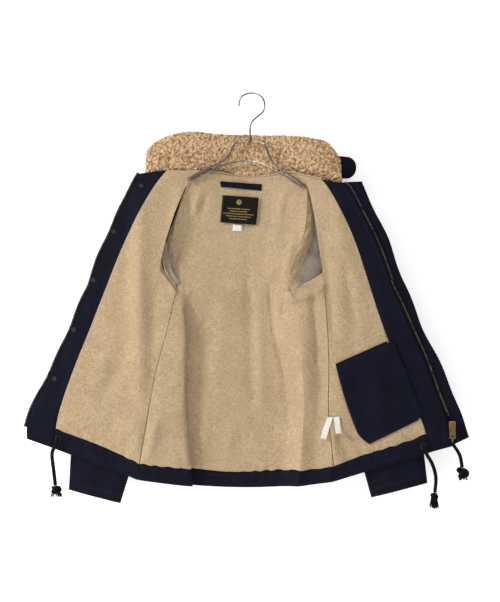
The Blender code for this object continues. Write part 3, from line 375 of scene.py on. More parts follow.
def build_finishes():
    cloth, metal = build_cloth_group(), build_wear_group()
    made = {}
    made["navy_cloth"] = finish_of("navy cord cloth", cloth, {
        "Colour": (0.0042, 0.0052, 0.0170, 1), "Shade": (0.0012, 0.0016, 0.0060, 1),
        "Fleck": (0.018, 0.022, 0.048, 1), "Mottle": 0.8, "Thread Scale": 300.0, "Thread Shade": 0.6,
        "Fleck Share": 0.25, "Roughness": 0.7}, 0.8, 0.0012,
        sheen=0.012, sheen_tint=(0.3, 0.38, 0.95, 1))
    made["navy_stitch"] = finish_of("navy thread", cloth, {
        "Colour": (0.017, 0.020, 0.050, 1), "Shade": (0.004, 0.005, 0.016, 1), "Thread Scale": 2500.0,
        "Roughness": 0.6}, 0.3, 0.0002)
    made["pile_lining"] = finish_of("wool lining", cloth, {
        "Colour": (0.600, 0.452, 0.285, 1), "Shade": (0.335, 0.232, 0.130, 1), "Fleck": (0.16, 0.11, 0.06, 1),
        "Mottle": 0.34, "Mottle Scale": 18.0, "Thread Scale": 150.0, "Thread Stretch": 4.5, "Thread Shade": 0.85,
        "Fleck Share": 0.5, "Roughness": 0.95}, 1.0, 0.0022, sheen=0.1, sheen_tint=(1.0, 0.9, 0.72, 1))
    # The pile's gap colour is painted shade between the curls
    made["boa_pile"] = finish_of("boa pile", build_curl_group(), {
        "Tip": (0.860, 0.610, 0.370, 1), "Gap Shade": (0.420, 0.240, 0.110, 1), "Scale": 175.0}, 0.8, 0.0035,
        sheen=0.15, sheen_tint=(1.0, 0.86, 0.66, 1))
    made["sleeve_satin"] = finish_of("sleeve satin", cloth, {
        "Colour": (0.52, 0.445, 0.36, 1), "Shade": (0.28, 0.225, 0.17, 1),
        "Mottle": 0.7, "Mottle Scale": 55.0, "Thread Scale": 1600.0, "Thread Stretch": 6.0, "Thread Shade": 0.2,
        "Fleck Share": 0.0, "Roughness": 0.36}, 0.9, 0.004, gloss=0.5)
    made["label_cloth"] = finish_of("woven label", cloth, {
        "Colour": (0.0075, 0.0068, 0.0065, 1), "Shade": (0.003, 0.003, 0.003, 1), "Fleck": (0.06, 0.05, 0.03, 1),
        "Mottle": 0.5, "Thread Scale": 1800.0, "Thread Stretch": 6.0, "Thread Shade": 0.5,
        "Roughness": 0.55}, 0.4, 0.0003)
    made["gold_thread"] = finish_of("gold thread", cloth, {
        "Colour": (0.42, 0.29, 0.08, 1), "Shade": (0.20, 0.13, 0.03, 1), "Fleck": (0.5, 0.38, 0.15, 1),
        "Mottle": 0.6, "Mottle Scale": 300.0, "Thread Scale": 2500.0, "Roughness": 0.5}, 0.4, 0.0002)
    made["white_tag"] = finish_of("white ribbon", cloth, {
        "Colour": (0.80, 0.78, 0.73, 1), "Shade": (0.58, 0.55, 0.49, 1), "Fleck": (0.3, 0.28, 0.25, 1),
        "Mottle": 0.5, "Mottle Scale": 120.0, "Thread Scale": 1500.0, "Thread Shade": 0.25, "Fleck Share": 0.35,
        "Roughness": 0.6}, 0.3, 0.0003)
    made["zip_tape"] = finish_of("zip tape", cloth, {
        "Colour": (0.006, 0.0065, 0.011, 1), "Shade": (0.003, 0.003, 0.004, 1), "Thread Scale": 1400.0,
        "Thread Stretch": 6.0, "Roughness": 0.7}, 0.6, 0.0005)
    made["black_cord"] = finish_of("black cord", cloth, {
        "Colour": (0.0055, 0.0053, 0.0060, 1), "Shade": (0.0022, 0.0022, 0.0022, 1), "Fleck": (0.03, 0.03, 0.03, 1),
        "Mottle": 0.6, "Mottle Scale": 200.0, "Thread Scale": 1300.0, "Thread Stretch": 3.0, "Thread Shade": 0.5,
        "Fleck Share": 0.3, "Roughness": 0.85}, 0.7, 0.0006, sheen=0.01)
    made["chromed_wire"] = finish_of("chromed wire", metal, {
        "Colour": (0.23, 0.205, 0.18, 1), "Tarnish": (0.10, 0.085, 0.07, 1), "Roughness": 0.2,
        "Scale": 180.0}, 0.02, 0.0001, metallic=1.0)
    made["dark_metal"] = finish_of("dark snap metal", metal, {
        "Colour": (0.06, 0.06, 0.07, 1), "Tarnish": (0.14, 0.125, 0.12, 1), "Roughness": 0.32,
        "Scale": 700.0}, 0.2, 0.0002, metallic=1.0)
    made["copper"] = finish_of("slider copper", metal, {
        "Colour": (0.56, 0.27, 0.16, 1), "Tarnish": (0.20, 0.10, 0.06, 1), "Amount": 0.7, "Roughness": 0.3,
        "Scale": 600.0}, 0.25, 0.0003, metallic=1.0)
    made["aged_brass"] = finish_of("aged brass", metal, {
        "Colour": (0.30, 0.22, 0.10, 1), "Tarnish": (0.08, 0.06, 0.035, 1), "Amount": 0.8, "Roughness": 0.36,
        "Scale": 700.0}, 0.25, 0.0003, metallic=1.0)
    made["zip_teeth"] = finish_of("zip teeth", metal, {
        "Colour": (0.40, 0.29, 0.15, 1), "Tarnish": (0.035, 0.027, 0.020, 1), "Amount": 1.0, "Roughness": 0.3,
        "Scale": 95.0}, 0.1, 0.0002, metallic=1.0)
    return made


# Cloth

def creased(points, creases, sign=-1.0):
    """How far each point of (x, z) moves along Y for a table of creases."""
    total = np.zeros(len(points))
    for across_a, drop_a, across_b, drop_b, half, height in creases:
        a = np.array((across_a, -drop_a)) * MM
        b = np.array((across_b, -drop_b)) * MM
        along = (points - a) @ (b - a) / ((b - a) @ (b - a))
        share = np.clip(along, 0, 1)
        gap = np.linalg.norm(points - (a + share[:, None] * (b - a)), axis=1) / (half * MM)
        total += sign * height * MM * np.exp(-gap**2) * (0.55 + 0.45 * np.sin(math.pi * share))
    return total


def gathered(points):
    """Small gathers along the top of the hem band."""
    line = np.array(BAND_LINE) * MM
    level = -np.interp(points[:, 0], line[:, 0], line[:, 1])
    near = np.exp(-((points[:, 1] - level) / (15 * MM)) ** 2)
    across = points[:, 0] / MM
    ripple = np.sin(across / 3.7 + 1.7 * np.sin(across / 23)) * (0.6 + 0.4 * np.sin(across / 31))
    return -1.3 * MM * ripple * near


def edge_waves(co):
    """Outlines that are not dead straight: scallops between the snaps, and puckers along the hem band."""
    drop = -co[:, 2] / MM
    left = np.interp(drop, [d for _, d in LEFT_ZIP], [a for a, _ in LEFT_ZIP]) * MM
    right = np.interp(drop, [d for _, d in RIGHT_ZIP], [a for a, _ in RIGHT_ZIP]) * MM
    scallop = 0.5 - 0.5 * np.cos(2 * math.pi * (drop - FIRST_SNAP) / SNAP_STEP)
    inside = np.clip((drop - FIRST_SNAP) / 60, 0, 1) * np.clip((SCALLOP_END - drop) / 60, 0, 1)
    co[:, 0] -= 2.6 * MM * (scallop - 0.4) * inside * np.exp(-((co[:, 0] - left) / (20 * MM)) ** 2)
    co[:, 0] += 2.0 * MM * np.sin(drop / 21) * inside * np.exp(-((co[:, 0] - right - 22 * MM) / (26 * MM)) ** 2)
    line = np.array(BAND_LINE) * MM
    level = -np.interp(co[:, 0], line[:, 0], line[:, 1])
    near = np.exp(-((co[:, 2] - level) / (11 * MM)) ** 2)
    across = co[:, 0] / MM
    pucker = np.sin(across / 4.6 + 2 * np.sin(across / 37)) * (0.5 + 0.5 * np.sin(across / 43)) + np.sin(across / 29)
    co[:, 2] += 1.5 * MM * pucker * near


def flat_spots(points):
    """1 on open cloth, 0 round each hard piece."""
    share = np.ones(len(points))
    for across, drop in HARD_SPOTS:
        gap = np.linalg.norm(points - np.array((across, -drop)) * MM, axis=1) / (16 * MM)
        share *= 1 - np.exp(-gap**2)
    return share


def rumpled(co, sizes):
    """Uneven cloth: for each size in mm and height in mm, broad noise of the place on the panel."""
    for i, (x, _, z) in enumerate(co):
        total = 0.0
        for size, height in sizes:
            total += height * noise.noise(Vector((x, 0.3, z * 0.7)) / (size * MM))
        co[i, 1] += total * MM


def satin_relief(co):
    """Rumpled satin that shows in the armholes."""
    sleeve_relief(co)
    head = np.clip((SATIN_END + co[:, 2]) / SATIN_FADE, 0, 1)
    before = co[:, 1].copy()
    rumpled(co, ((34, 3.0), (13, 1.9), (7, 0.8)))
    co[:, 1] = before + (co[:, 1] - before) * head


def body_relief(co):
    edge_waves(co)
    rumpled(co, ((46, 1.5), (19, 0.55)))
    points = co[:, [0, 2]]
    co[:, 1] += (2.1 * creased(points, CREASES) + gathered(points)) * flat_spots(points)


def curled_end(co):
    """A ribbon whose lower end curls away from the cloth."""
    top, low = co[:, 2].max(), co[:, 2].min()
    share = np.clip((top - co[:, 2]) / (top - low), 0, 1)
    co[:, 1] -= (13 * share**2 + 1.2 * np.sin(share * 9)) * MM * share
    co[:, 2] += 3.0 * MM * share**2


def sleeve_relief(co):
    """A sleeve's far side, and its cuff below the hem. The near side above that lies behind a front."""
    far = np.clip((co[:, 1] - 18 * MM) / (12 * MM), 0, 1)
    below = np.clip((-co[:, 2] - 0.772) / 0.02, 0, 1)
    co[:, 1] += creased(co[:, [0, 2]], SLEEVE_CREASES, sign=1.0) * far
    co[:, 1] += creased(co[:, [0, 2]], CUFF_CREASES) * below


def bumpy(co, normals, size, height):
    """Curly pile: rounded lumps with narrow gaps between them."""
    front = np.clip(0.3 - normals[:, 1], 0, 1)
    for i, place in enumerate(co):
        if not front[i]:
            continue
        spot = Vector(place) / size
        twist = noise.noise_vector(spot * 0.6) * 0.5
        distances, _ = noise.voronoi(spot + twist)
        lump = max(0.0, 1 - distances[0] * 1.25) ** 0.6 + 0.35 * noise.noise(spot * 2.6)
        co[i] += normals[i] * height * (lump - 0.45) * min(1, front[i] * 1.4)


def panel_copy(name, node, finish, levels=2, crease=True):
    """The frame's panel as one smooth piece: quads, held edges, subdivided."""
    bm = bmesh.new()
    bm.from_mesh(NODES[node].data)
    bmesh.ops.remove_doubles(bm, verts=bm.verts, dist=2e-6)
    bmesh.ops.join_triangles(bm, faces=bm.faces, angle_face_threshold=JOINED, angle_shape_threshold=math.pi)
    layer = bm.edges.layers.float.new("crease_edge")
    for edge in bm.edges:
        if crease and edge.is_manifold and edge.calc_face_angle() > HELD:
            edge[layer] = 1.0
    mesh = bpy.data.meshes.new(name)
    bm.to_mesh(mesh)
    bm.free()
    obj = placed(name, mesh)
    smooth = obj.modifiers.new("Smooth", "SUBSURF")
    smooth.levels = smooth.render_levels = levels
    evaluated = obj.evaluated_get(bpy.context.evaluated_depsgraph_get())
    obj.modifiers.clear()
    dense = bpy.data.meshes.new_from_object(evaluated)
    obj.data = dense
    bpy.data.meshes.remove(mesh)
    dense.name = name
    dense.materials.clear()
    dense.materials.append(finish)
    return obj


def moved(obj, change):
    """Moves the mesh's points with a function of their array."""
    mesh = obj.data
    co = np.empty(len(mesh.vertices) * 3)
    mesh.vertices.foreach_get("co", co)
    co = co.reshape(-1, 3)
    change(co)
    mesh.vertices.foreach_set("co", co.ravel())
    mesh.update()
    mesh.shade_smooth()
    mesh.set_sharp_from_angle(angle=SHARP)


def dressed(name, node, slot, flat, finishes, area=None, change=body_relief, levels=2):
    """A cloth piece that stands for the frame's panel, creased."""
    obj = panel_copy(name, node, finishes[slot], levels)
    moved(obj, change)
    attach(obj, BODY)
    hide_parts(node)
    return obj


def curl_pile(obj, size, height):
    mesh = obj.data
    normals = np.empty(len(mesh.vertices) * 3)
    mesh.vertices.foreach_get("normal", normals)
    normals = normals.reshape(-1, 3)
    moved(obj, lambda co: bumpy(co, normals, size, height))


def grid_faces(count, columns):
    """Quads between points that run row by row."""
    corners = (i * columns + k for i in range(count - 1) for k in range(columns - 1))
    return [(a, a + 1, a + columns + 1, a + columns) for a in corners]


def thicken(obj):
    thick = obj.modifiers.new("Thickness", "SOLIDIFY")
    thick.thickness, thick.offset = SHEET_THICKNESS * MM, 0


def soften(name, rows, finish, bulge=3.0):
    """A turned edge: rows of an outer and an inner place, rolled towards the viewer between them."""
    rows = np.array(rows, float)
    path, length = smooth_line(rows[:, :3], 3)
    count = len(path)
    inner = smooth_line(rows[:, 3:], 3)[0]
    inner = np.column_stack([np.interp(np.linspace(0, 1, count), np.linspace(0, 1, len(inner)), inner[:, k])
                             for k in range(3)])
    verts, columns = [], 10
    for i in range(count):
        for k in range(columns):
            t = k / (columns - 1)
            spot = path[i] * (1 - t) + inner[i] * t
            roll = bulge * math.sin(math.pi * min(1, t * 1.25)) * (0.75 + 0.25 * math.sin(i * 0.55))
            verts.append((spot[0] * MM, (spot[2] - roll) * MM, -spot[1] * MM))
    obj = mesh_piece(name, verts, grid_faces(count, columns), finish)
    thicken(obj)


# Small pieces

def mesh_piece(name, verts, faces, finish, body=BODY, smooth=True):
    mesh = bpy.data.meshes.new(name)
    mesh.from_pydata([tuple(v) for v in verts], [], faces)
    mesh.validate()
    if smooth:
        mesh.shade_smooth()
    obj = placed(name, mesh)
    mesh.materials.append(finish)
    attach(obj, body)
    return obj


def smooth_line(route, step):
    """Points this far apart along a smooth curve through places in metres."""
    knots = np.array(route, float)
    before = np.vstack([2 * knots[:1] - knots[1:2], knots[:-1]])
    after = np.vstack([knots[1:], 2 * knots[-1:] - knots[-2:-1]])
    tangents = (after - before) / 2
    fine = []
    for i in range(len(knots) - 1):
        for t in np.arange(24) / 24:
            near = (2 * t**3 - 3 * t**2 + 1) * knots[i] + (t**3 - 2 * t**2 + t) * tangents[i]
            far = (3 * t**2 - 2 * t**3) * knots[i + 1] + (t**3 - t**2) * tangents[i + 1]
            fine.append(near + far)
    fine = np.array([*fine, knots[-1]])
    along = np.concatenate([[0], np.cumsum(np.linalg.norm(np.diff(fine, axis=0), axis=1))])
    wanted = np.linspace(0, along[-1], max(2, round(along[-1] / step) + 1))
    return np.column_stack([np.interp(wanted, along, fine[:, k]) for k in range(fine.shape[1])]), along[-1]


def in_metres(route):
    return [(across * MM, depth * MM, -drop * MM) for across, drop, depth in route]


def rope(points, radius, sides=10, strands=0, pitch=9 * MM, relief=0.1, taper=None):
    """Vertices and faces of a tube along points, with the crossing strands of a braid."""
    points = np.asarray(points, float)
    tangents = np.gradient(points, axis=0)
    tangents /= np.linalg.norm(tangents, axis=1, keepdims=True)
    side = np.cross(tangents[0], (0.31, 0.87, 0.23))
    verts, faces, run = [], [], 0.0
    for i, (place, way) in enumerate(zip(points, tangents)):
        side = side - way * (side @ way)
        side /= np.linalg.norm(side)
        other = np.cross(way, side)
        if i:
            run += np.linalg.norm(points[i] - points[i - 1])
        size = radius * (taper[i] if taper is not None else 1.0)
        for k in range(sides):
            angle = 2 * math.pi * k / sides
            swell = 1.0
            if strands:
                turn = 2 * math.pi * run / pitch
                swell += relief * math.cos(strands * angle + turn) * math.cos(strands * angle - turn)
            verts.append(place + (side * math.cos(angle) + other * math.sin(angle)) * size * swell)
    for i in range(len(points) - 1):
        for k in range(sides):
            a, b = i * sides + k, i * sides + (k + 1) % sides
            faces.append((a, b, b + sides, a + sides))
    faces.append(tuple(range(sides))[::-1])
    faces.append(tuple(range((len(points) - 1) * sides, len(points) * sides)))
    return verts, faces


def gather(parts):
    """Several (vertices, faces) as one."""
    verts, faces = [], []
    for more, rings in parts:
        start = len(verts)
        verts.extend(more)
        faces.extend(tuple(i + start for i in face) for face in rings)
    return verts, faces


def build_free_cord(name, node, route, finishes, body):
    points, length = smooth_line(in_metres(route), 1.3 * MM)
    verts, faces = rope(points, CORD_SIZE / 2, sides=16, strands=4, pitch=11 * MM, relief=0.09)
    cord = mesh_piece(name, verts, faces, finishes["black_cord"], body)
    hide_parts(node)


def build_knot(name, node, finishes, body, wide, tall, fray, seed, lobe=False):
    """An overhand knot of the same cord inside the frame's knot, with its frayed end below."""
    rng = random.Random(seed)
    low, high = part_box(node)
    middle = (low + high) / 2
    top = high.z
    parts = []
    centre = Vector((middle.x, middle.y, top - tall / 2))
    turns = []
    for i in range(97):
        t = 2 * math.pi * i / 96
        ring = 0.62 + 0.30 * math.cos(3 * t)
        turns.append((centre.x + ring * math.cos(2 * t) * wide * 0.43,
                      centre.y + math.sin(2 * t) * ring * wide * 0.36,
                      centre.z + math.sin(3 * t) * tall * 0.27))
    parts.append(rope(turns, CORD_SIZE * 0.40, sides=10, strands=3, pitch=8 * MM, relief=0.12))
    core = [(centre.x, centre.y, top - tall * share) for share in np.linspace(0.04, 0.98, 9)]
    parts.append(rope(core, wide * 0.27, sides=12, taper=(0.5, 0.9, 1.15, 1.25, 1.25, 1.2, 1.05, 0.8, 0.55)))
    if lobe:
        loop = [(centre.x - wide * 0.30 + math.cos(a) * 4.2 * MM, centre.y - 2 * MM,
                 centre.z + tall * 0.28 + math.sin(a) * 4.0 * MM) for a in np.linspace(0, 2 * math.pi, 22)]
        parts.append(rope(loop, 2.4 * MM, sides=8))
    for _ in range(FRAY_STRANDS):
        angle, reach = rng.uniform(0, 2 * math.pi), rng.uniform(0.1, 1) ** 0.5
        across, back = math.cos(angle), math.sin(angle)
        start = centre + Vector((across * reach * fray * 0.34, back * reach * fray * 0.3, -tall * 0.34))
        stop = Vector((middle.x + across * reach * fray * 0.52, middle.y + back * reach * fray * 0.4,
                       low.z + rng.uniform(0, 8) * MM))
        bend = (start + stop) / 2 + Vector((across, back, 0)) * rng.uniform(0.3, 1.6) * MM
        strand, _ = smooth_line([start, bend, stop], 2.4 * MM)
        parts.append(rope(strand, FRAY_RADIUS, sides=5))
    verts, faces = gather(parts)
    knot = mesh_piece(name, verts, faces, finishes["black_cord"], body)
    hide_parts(node)
    return knot


def waved_edge(edge, step):
    """Places (x, z) along a zip's edge, with the same waves as the cloth, and the way it runs at each."""
    points, _ = smooth_line([(across * MM, 0, -drop * MM) for across, drop in edge], step * MM)
    edge_waves(points)
    points = points[:, [0, 2]]
    ways = np.gradient(points, axis=0)
    return points, ways / np.linalg.norm(ways, axis=1, keepdims=True)


def zip_teeth(name, edge, outward, finishes):
    """The cast teeth of one side, each a small wedge over the tape's outer edge."""
    quads = ((0, 1, 3, 2), (4, 6, 7, 5), (0, 4, 5, 1), (2, 3, 7, 6), (0, 2, 6, 4), (1, 5, 7, 3))
    verts, faces = [], []
    for (x, z), (wx, wz) in zip(*waved_edge(edge, TOOTH_PITCH)):
        out = np.array((-wz, wx)) * outward
        along = np.array((wx, wz))
        start = len(verts)
        for depth in TOOTH_DEPTHS:
            for reach, half in TOOTH_ENDS:
                for sign in (-1, 1):
                    spot = np.array((x, z)) + out * reach * MM + along * sign * half * MM
                    verts.append((spot[0], depth * MM, spot[1]))
        faces.extend(tuple(start + i for i in quad) for quad in quads)
    mesh_piece(name, verts, faces, finishes["zip_teeth"], smooth=False)


class Cloth:
    """One side of finished pieces, the viewer's or the far one: on() finds a place on it and its normal."""

    def __init__(self, *objects, far=False):
        self.way = -1 if far else 1
        graph = bpy.context.evaluated_depsgraph_get()
        self.trees = [BVHTree.FromObject(obj, graph) for obj in objects]

    def on(self, x, z):
        best = None
        for tree in self.trees:
            hit, normal, _, _ = tree.ray_cast(Vector((x, -0.3 * self.way, z)), Vector((0, self.way, 0)))
            if hit is not None and (best is None or hit.y * self.way < best[0].y * self.way):
                best = (hit, normal if normal.y * self.way < 0 else -normal)
        return best


def shifted(row, across=0, drop=0):
    return [(a + across, d + drop) for a, d in row]


def stitches(name, routes, cloth, finishes, pitch=3.4, long=2.5):
    """Rows of raised stitches laid on cloth along routes of (across, drop)."""
    verts, faces = [], []
    for route in routes:
        points, _ = smooth_line([(across * MM, -drop * MM) for across, drop in route], pitch * MM)
        for (x, z), way in zip(points, np.gradient(points, axis=0)):
            found = cloth.on(x, z)
            if found is None:
                continue
            place, normal = found
            along = Vector((way[0], 0, way[1])).normalized()
            across = along.cross(normal).normalized()
            start = len(verts)
            for reach, half, lift in STITCH:
                for sign in (-1, 1):
                    spot = place + along * reach * long * MM + across * sign * half * STITCH_WIDTH * MM
                    verts.append(spot + normal * lift * MM)
            faces.extend(((start, start + 1, start + 3, start + 2), (start + 2, start + 3, start + 5, start + 4),
                          (start + 4, start + 5, start + 7, start + 6)))
    mesh_piece(name, verts, faces, finishes["navy_stitch"])


def build_label_threads(cloth, finishes):
    """A small ornament of stripes and rows of short bars: generic, with no lettering."""
    verts, faces = [], []
    corners = np.array(LABEL_CORNERS, float)

    def bar(u0, u1, v0, v1):
        start = len(verts)
        for u, v in ((u0, v0), (u1, v0), (u1, v1), (u0, v1)):
            upper = corners[0] * (1 - u) + corners[1] * u
            lower = corners[3] * (1 - u) + corners[2] * u
            across, drop = upper * (1 - v) + lower * v
            found = cloth.on(across * MM, -drop * MM)
            verts.append((across * MM, found[0].y - 0.16 * MM, -drop * MM))
        faces.append((start, start + 3, start + 2, start + 1))

    for i, reach in enumerate((0.035, 0.062, 0.075, 0.075, 0.062, 0.035)):
        top = 0.12 + i * 0.034
        bar(0.47 - reach, 0.47 + reach, top, top + 0.024)
    rng = random.Random(5)
    for row, (left, right) in enumerate(((0.17, 0.78), (0.24, 0.72), (0.06, 0.90), (0.14, 0.84), (0.24, 0.74))):
        place, v = left, 0.45 + row * 0.093
        while place < right:
            length = rng.uniform(0.02, 0.055)
            bar(place, min(place + length, right), v, v + 0.030)
            place += length + 0.014
    mesh_piece("label_threads", verts, faces, finishes["gold_thread"], smooth=False)


def unmoved(co):
    """Cloth that keeps the frame's shape."""


# Cloth: the piece, the frame's panel, its slot, the size that it was cut to, and more for dressed(). Metres.
SHEETS = (
    ("back_wool", "back_lining", "pile_lining", (0.50, 0.64), dict(area=0.272, levels=3)),
    ("left_front_wool", "front_left_lining", "pile_lining", (0.24, 0.62), dict(area=0.095, levels=3)),
    ("right_front_wool", "front_right_lining", "pile_lining", (0.23, 0.62), dict(area=0.090, levels=3)),
    ("back_cord_cloth", "back_shell", "navy_cloth", (0.50, 0.68), dict(area=0.29)),
    ("left_front_cord_cloth", "front_left_shell", "navy_cloth", (0.30, 0.66), dict(area=0.13)),
    ("right_front_cord_cloth", "front_right_shell", "navy_cloth", (0.30, 0.66), dict(area=0.13)),
    ("left_facing", "front_left_facing", "navy_cloth", (0.075, 0.64), dict(area=0.030, levels=3)),
    ("right_facing", "front_right_facing", "navy_cloth", (0.075, 0.62), dict(area=0.028, levels=3)),
    ("left_hem_band", "hem_band_left", "navy_cloth", (0.20, 0.045), dict(levels=4)),
    ("right_hem_band", "hem_band_right", "navy_cloth", (0.22, 0.045), dict(levels=4)),
    ("back_hem_band", "hem_band_back", "navy_cloth", (0.50, 0.045), dict(levels=3)),
    ("left_sleeve_cloth", "sleeve_left", "navy_cloth", (0.32, 0.66), dict(area=0.19, change=sleeve_relief)),
    ("left_sleeve_satin", "sleeve_lining_left", "sleeve_satin", (0.30, 0.62),
     dict(area=0.165, change=satin_relief, levels=3)),
    ("right_sleeve_cloth", "sleeve_right", "navy_cloth", (0.32, 0.66), dict(area=0.19, change=sleeve_relief)),
    ("right_sleeve_satin", "sleeve_lining_right", "sleeve_satin", (0.30, 0.62),
     dict(area=0.165, change=satin_relief, levels=3)),
    ("flap_cloth", "storm_flap", "navy_cloth", (0.045, 0.62), dict(area=0.027)),
    ("pocket_cloth", "inside_pocket", "navy_cloth", (0.16, 0.19), dict(area=0.024, levels=3)),
    ("under_collar_cloth", "under_collar", "navy_cloth", (0.44, 0.10), dict(area=0.040, change=unmoved)),
    ("throat_tab", "collar_tab", "navy_cloth", (0.076, 0.047), dict(change=unmoved, levels=1)),
    ("neck_loop", "hang_loop", "navy_cloth", (0.09, 0.014), dict(levels=3)),
    ("woven_label", "neck_label", "label_cloth", (0.076, 0.057), {}),
    ("size_ribbon", "size_tag", "white_tag", (0.0205, 0.015), {}),
    ("care_ribbon_1", "care_label_1", "white_tag", (0.012, 0.049), dict(levels=4, change=curled_end)),
    ("care_ribbon_2", "care_label_2", "white_tag", (0.012, 0.037), dict(levels=4, change=curled_end)),
)
BANDS = ("left_hem_band", "right_hem_band", "back_hem_band")
# The frame's nodes that stay as they are, by finish
METAL = {
    "chromed_wire": ("hanger_hook", "hanger_top_wire", "hanger_lower_wire", "hanger_tip_left", "hanger_tip_right",
                     "hanger_ferrule"),
    "dark_metal": ("snap_1", "snap_2", "snap_3", "snap_4", "snap_5", "eyelet_left", "eyelet_right"),
    "copper": ("zip_slider",),
    "aged_brass": ("zip_pull_tab", "zip_pull_ring"),
}


def main():
    build_camera()
    finishes = build_finishes()

    left = build_knot("left_knot", "drawcord_knot_left", finishes, BODY, 23 * MM, 18 * MM, 24 * MM, 11)
    right = build_knot("right_knot", "drawcord_knot_right", finishes, BODY, 15 * MM, 17 * MM, 18 * MM, 12)
    pull = build_knot("pull_knot", "zip_pull_knot", finishes, PULL, 26 * MM, 24 * MM, 20 * MM, 13, lobe=True)
    build_free_cord("left_drawcord", "drawcord_left", LEFT_CORD, finishes, BODY)
    build_free_cord("right_drawcord", "drawcord_right", RIGHT_CORD, finishes, BODY)
    # The pull cord starts in the ring, where the frame's cord has its top
    _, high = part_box("zip_pull_cord")
    top = -high.z / MM
    route = ((420, top, -9.95), (421.5, top + 5, -9.95), (430, 746, -10.5), (435.5, 757, -10), (438, 768, -9.5),
             (440, 781, -9))
    build_free_cord("pull_cord", "zip_pull_cord", route, finishes, PULL)

    build_studio()

    sheets = {name: dressed(name, node, slot, flat, finishes, **more) for name, node, slot, flat, more in SHEETS}
    collar = panel_copy("boa_collar", "collar_pile", finishes["boa_pile"], 4, crease=False)
    curl_pile(collar, 5.4 * MM, 4.6 * MM)
    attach(collar, BODY)
    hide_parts("collar_pile")

    for finish, nodes in METAL.items():
        for node in nodes:
            NODES[node].data.materials.clear()
            NODES[node].data.materials.append(finishes[finish])

    zip_teeth("left_teeth", LEFT_ZIP, -1, finishes)
    zip_teeth("right_teeth", RIGHT_ZIP, 1, finishes)
    build_seams(finishes, sheets["pocket_cloth"])
    build_label_threads(Cloth(sheets["woven_label"]), finishes)
    build_stitching(sheets, finishes)
    build_outer_stitching(sheets, finishes)


def build_seams(finishes, pocket):
    """Sewn seams that close the panels, turned armhole edges, and the woven tapes of the zip."""
    wool, navy = finishes["pile_lining"], finishes["navy_cloth"]
    soften("left_armhole_edge", LEFT_ARMHOLE, wool)
    soften("left_armhole_foot", LEFT_ARMHOLE_FOOT, wool)
    soften("left_sleeve_mouth", LEFT_MOUTH, finishes["sleeve_satin"], bulge=0.7)
    soften("right_armhole_edge", RIGHT_ARMHOLE, wool, bulge=4.0)
    # The same edges in navy a little further back, which show from outside
    for side, table, bulge in (("left", LEFT_ARMHOLE, 3.0), ("right", RIGHT_ARMHOLE, 4.0)):
        rows = [(a, b, c + OUTSIDE, d, e, f + OUTSIDE) for a, b, c, d, e, f in table]
        soften(f"{side}_armhole_outside", rows, navy, bulge=bulge)
    # The pocket's side, from its mouth to its foot
    face = Cloth(pocket)
    rows = []
    for t in np.linspace(0, 1, 7):
        edge, drop = 278 + 67 * t, 523 + 158 * t
        depth = face.on((edge - 3) * MM, -drop * MM)[0].y / MM - 0.15
        rows.append((edge, drop, depth, edge + 19 - 4 * t, drop - 7, depth + 0.6))
    soften("pocket_side", rows, navy, bulge=0.2)
    for name, route, lift, radius, finish, slot in (
            ("left_side_seam", LEFT_SEAM, 0.9, 1.5, wool, "pile_lining"),
            ("right_side_seam", RIGHT_SEAM, 0.9, 1.5, wool, "pile_lining"),
            ("left_outer_seam", LEFT_SEAM, 2.9, 1.4, navy, "navy_cloth"),
            ("right_outer_seam", RIGHT_SEAM, 2.9, 1.4, navy, "navy_cloth"),
            ("neck_seam", NECK_SEAM, -0.4, 2.2, wool, "pile_lining"),
            ("left_band_seam", ((-236, 772, 0), (-240, 808, 0)), 0.6, 1.5, navy, "navy_cloth"),
            ("right_band_seam", ((172, 779, 0), (168, 813, 0)), 0.6, 1.5, navy, "navy_cloth")):
        points, _ = smooth_line([(a * MM, (d + lift) * MM, -b * MM) for a, b, d in route], 2 * MM)
        body_relief(points)
        verts, faces = rope(points, radius * MM, sides=8)
        mesh_piece(name, verts, faces, finish)
    for side, edge, outward in (("left", LEFT_ZIP, -1), ("right", RIGHT_ZIP, 1)):
        points, ways = waved_edge(edge, TAPE_STEP)
        verts = []
        for (x, z), (wx, wz) in zip(points, ways):
            for reach in TAPE_REACHES:
                verts.append((x - wz * outward * reach * MM, TAPE_DEPTH * MM, z + wx * outward * reach * MM))
        faces = grid_faces(len(points), len(TAPE_REACHES))
        tape = mesh_piece(f"{side}_tape", verts, faces, finishes["zip_tape"])
        thicken(tape)
        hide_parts(f"zip_tape_{side}")


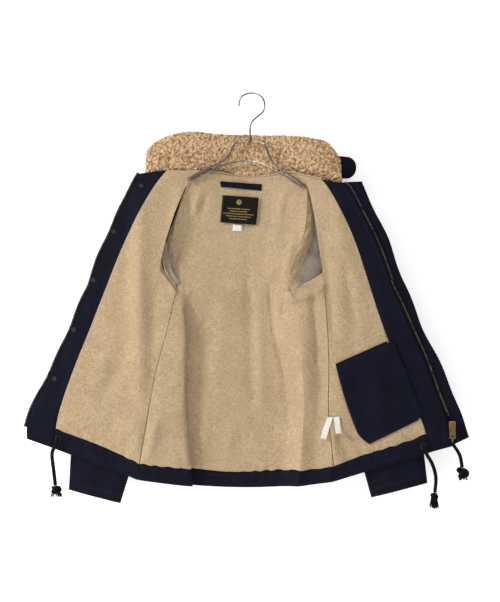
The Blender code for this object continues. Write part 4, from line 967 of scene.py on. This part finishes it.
def build_stitching(sheets, finishes):
    """The rows on the facings, the hem and the pocket, seen from the front."""
    left, right = Cloth(sheets["left_facing"]), Cloth(sheets["right_facing"])
    left_seam = ((-180, 162), (-209, 195), (-270, 305), (-296, 366), (-311, 408), (-347, 500), (-379, 576),
                 (-408, 660), (-416, 696))
    right_seam = ((151, 182), (168, 203), (220, 304), (239, 364), (247, 388), (282, 494), (317, 580), (355, 670),
                  (370, 708))
    stitches("left_facing_stitches", [left_seam, shifted(left_seam, -6)], left, finishes)
    stitches("right_facing_stitches", [right_seam, shifted(right_seam, 6)], right, finishes)
    stitches("left_edge_stitches", [shifted(LEFT_ZIP, 7), shifted(LEFT_ZIP, 14)], left, finishes)
    stitches("right_edge_stitches", [shifted(RIGHT_ZIP, -8)], right, finishes)
    hem, line = Cloth(*(sheets[name] for name in BANDS)), BAND_LINE[1:-1]
    stitches("hem_stitches", [shifted(line, drop=5), shifted(line, drop=26)], hem, finishes)
    side = ((180, 568), (195, 626), (217, 690), (230, 714), (248, 728), (348, 680))
    mouth = ((180, 570), (281, 524))
    stitches("pocket_stitches", [side, mouth, shifted(mouth, drop=7)], Cloth(sheets["pocket_cloth"]), finishes)


def build_outer_stitching(sheets, finishes):
    """The rows on the cuffs, and on the back, the hem and the under collar, seen from behind."""
    sleeves, back = (sheets["left_sleeve_cloth"], sheets["right_sleeve_cloth"]), sheets["back_cord_cloth"]
    near, far = Cloth(*sleeves), Cloth(*sleeves, far=True)
    cuffs = [[(-384, 811), (-330, 826), (-272, 840)], [(367, 797), (310, 812), (246, 828)]]
    stitches("cuff_stitches", cuffs + [shifted(row, drop=3) for row in cuffs], near, finishes)
    stitches("cuff_stitches_behind", cuffs, far, finishes)
    seams = [[(-232, 232), (-278, 300), (-322, 400), (-352, 520), (-372, 640), (-380, 742)],
             [(206, 240), (244, 308), (286, 404), (324, 520), (350, 640), (360, 742)]]
    stitches("sleeve_stitches", seams, far, finishes, pitch=3.8, long=2.9)
    yoke = [(-150, 262), (-80, 268), (-5, 272), (60, 268), (106, 262)]
    sides = [[(-152, 470), (-160, 560), (-166, 660), (-172, 760)], [(98, 470), (104, 560), (108, 660), (112, 760)]]
    stitches("back_stitches", [yoke, shifted(yoke, drop=5), *sides], Cloth(back, far=True), finishes)
    hem = Cloth(*(sheets[name] for name in BANDS), back, far=True)
    stitches("hem_stitches_behind", [shifted(BAND_LINE[2:-2], drop=22)], hem, finishes)
    rim = [(-212, 128), (-200, 104), (-162, 87), (-122, 82), (-82, 87), (0, 89), (85, 90), (134, 97), (158, 106),
           (176, 132)]
    stitches("collar_stitches", [rim, [(a * 0.97, d + 7) for a, d in rim]],
             Cloth(sheets["under_collar_cloth"], far=True), finishes)


main()
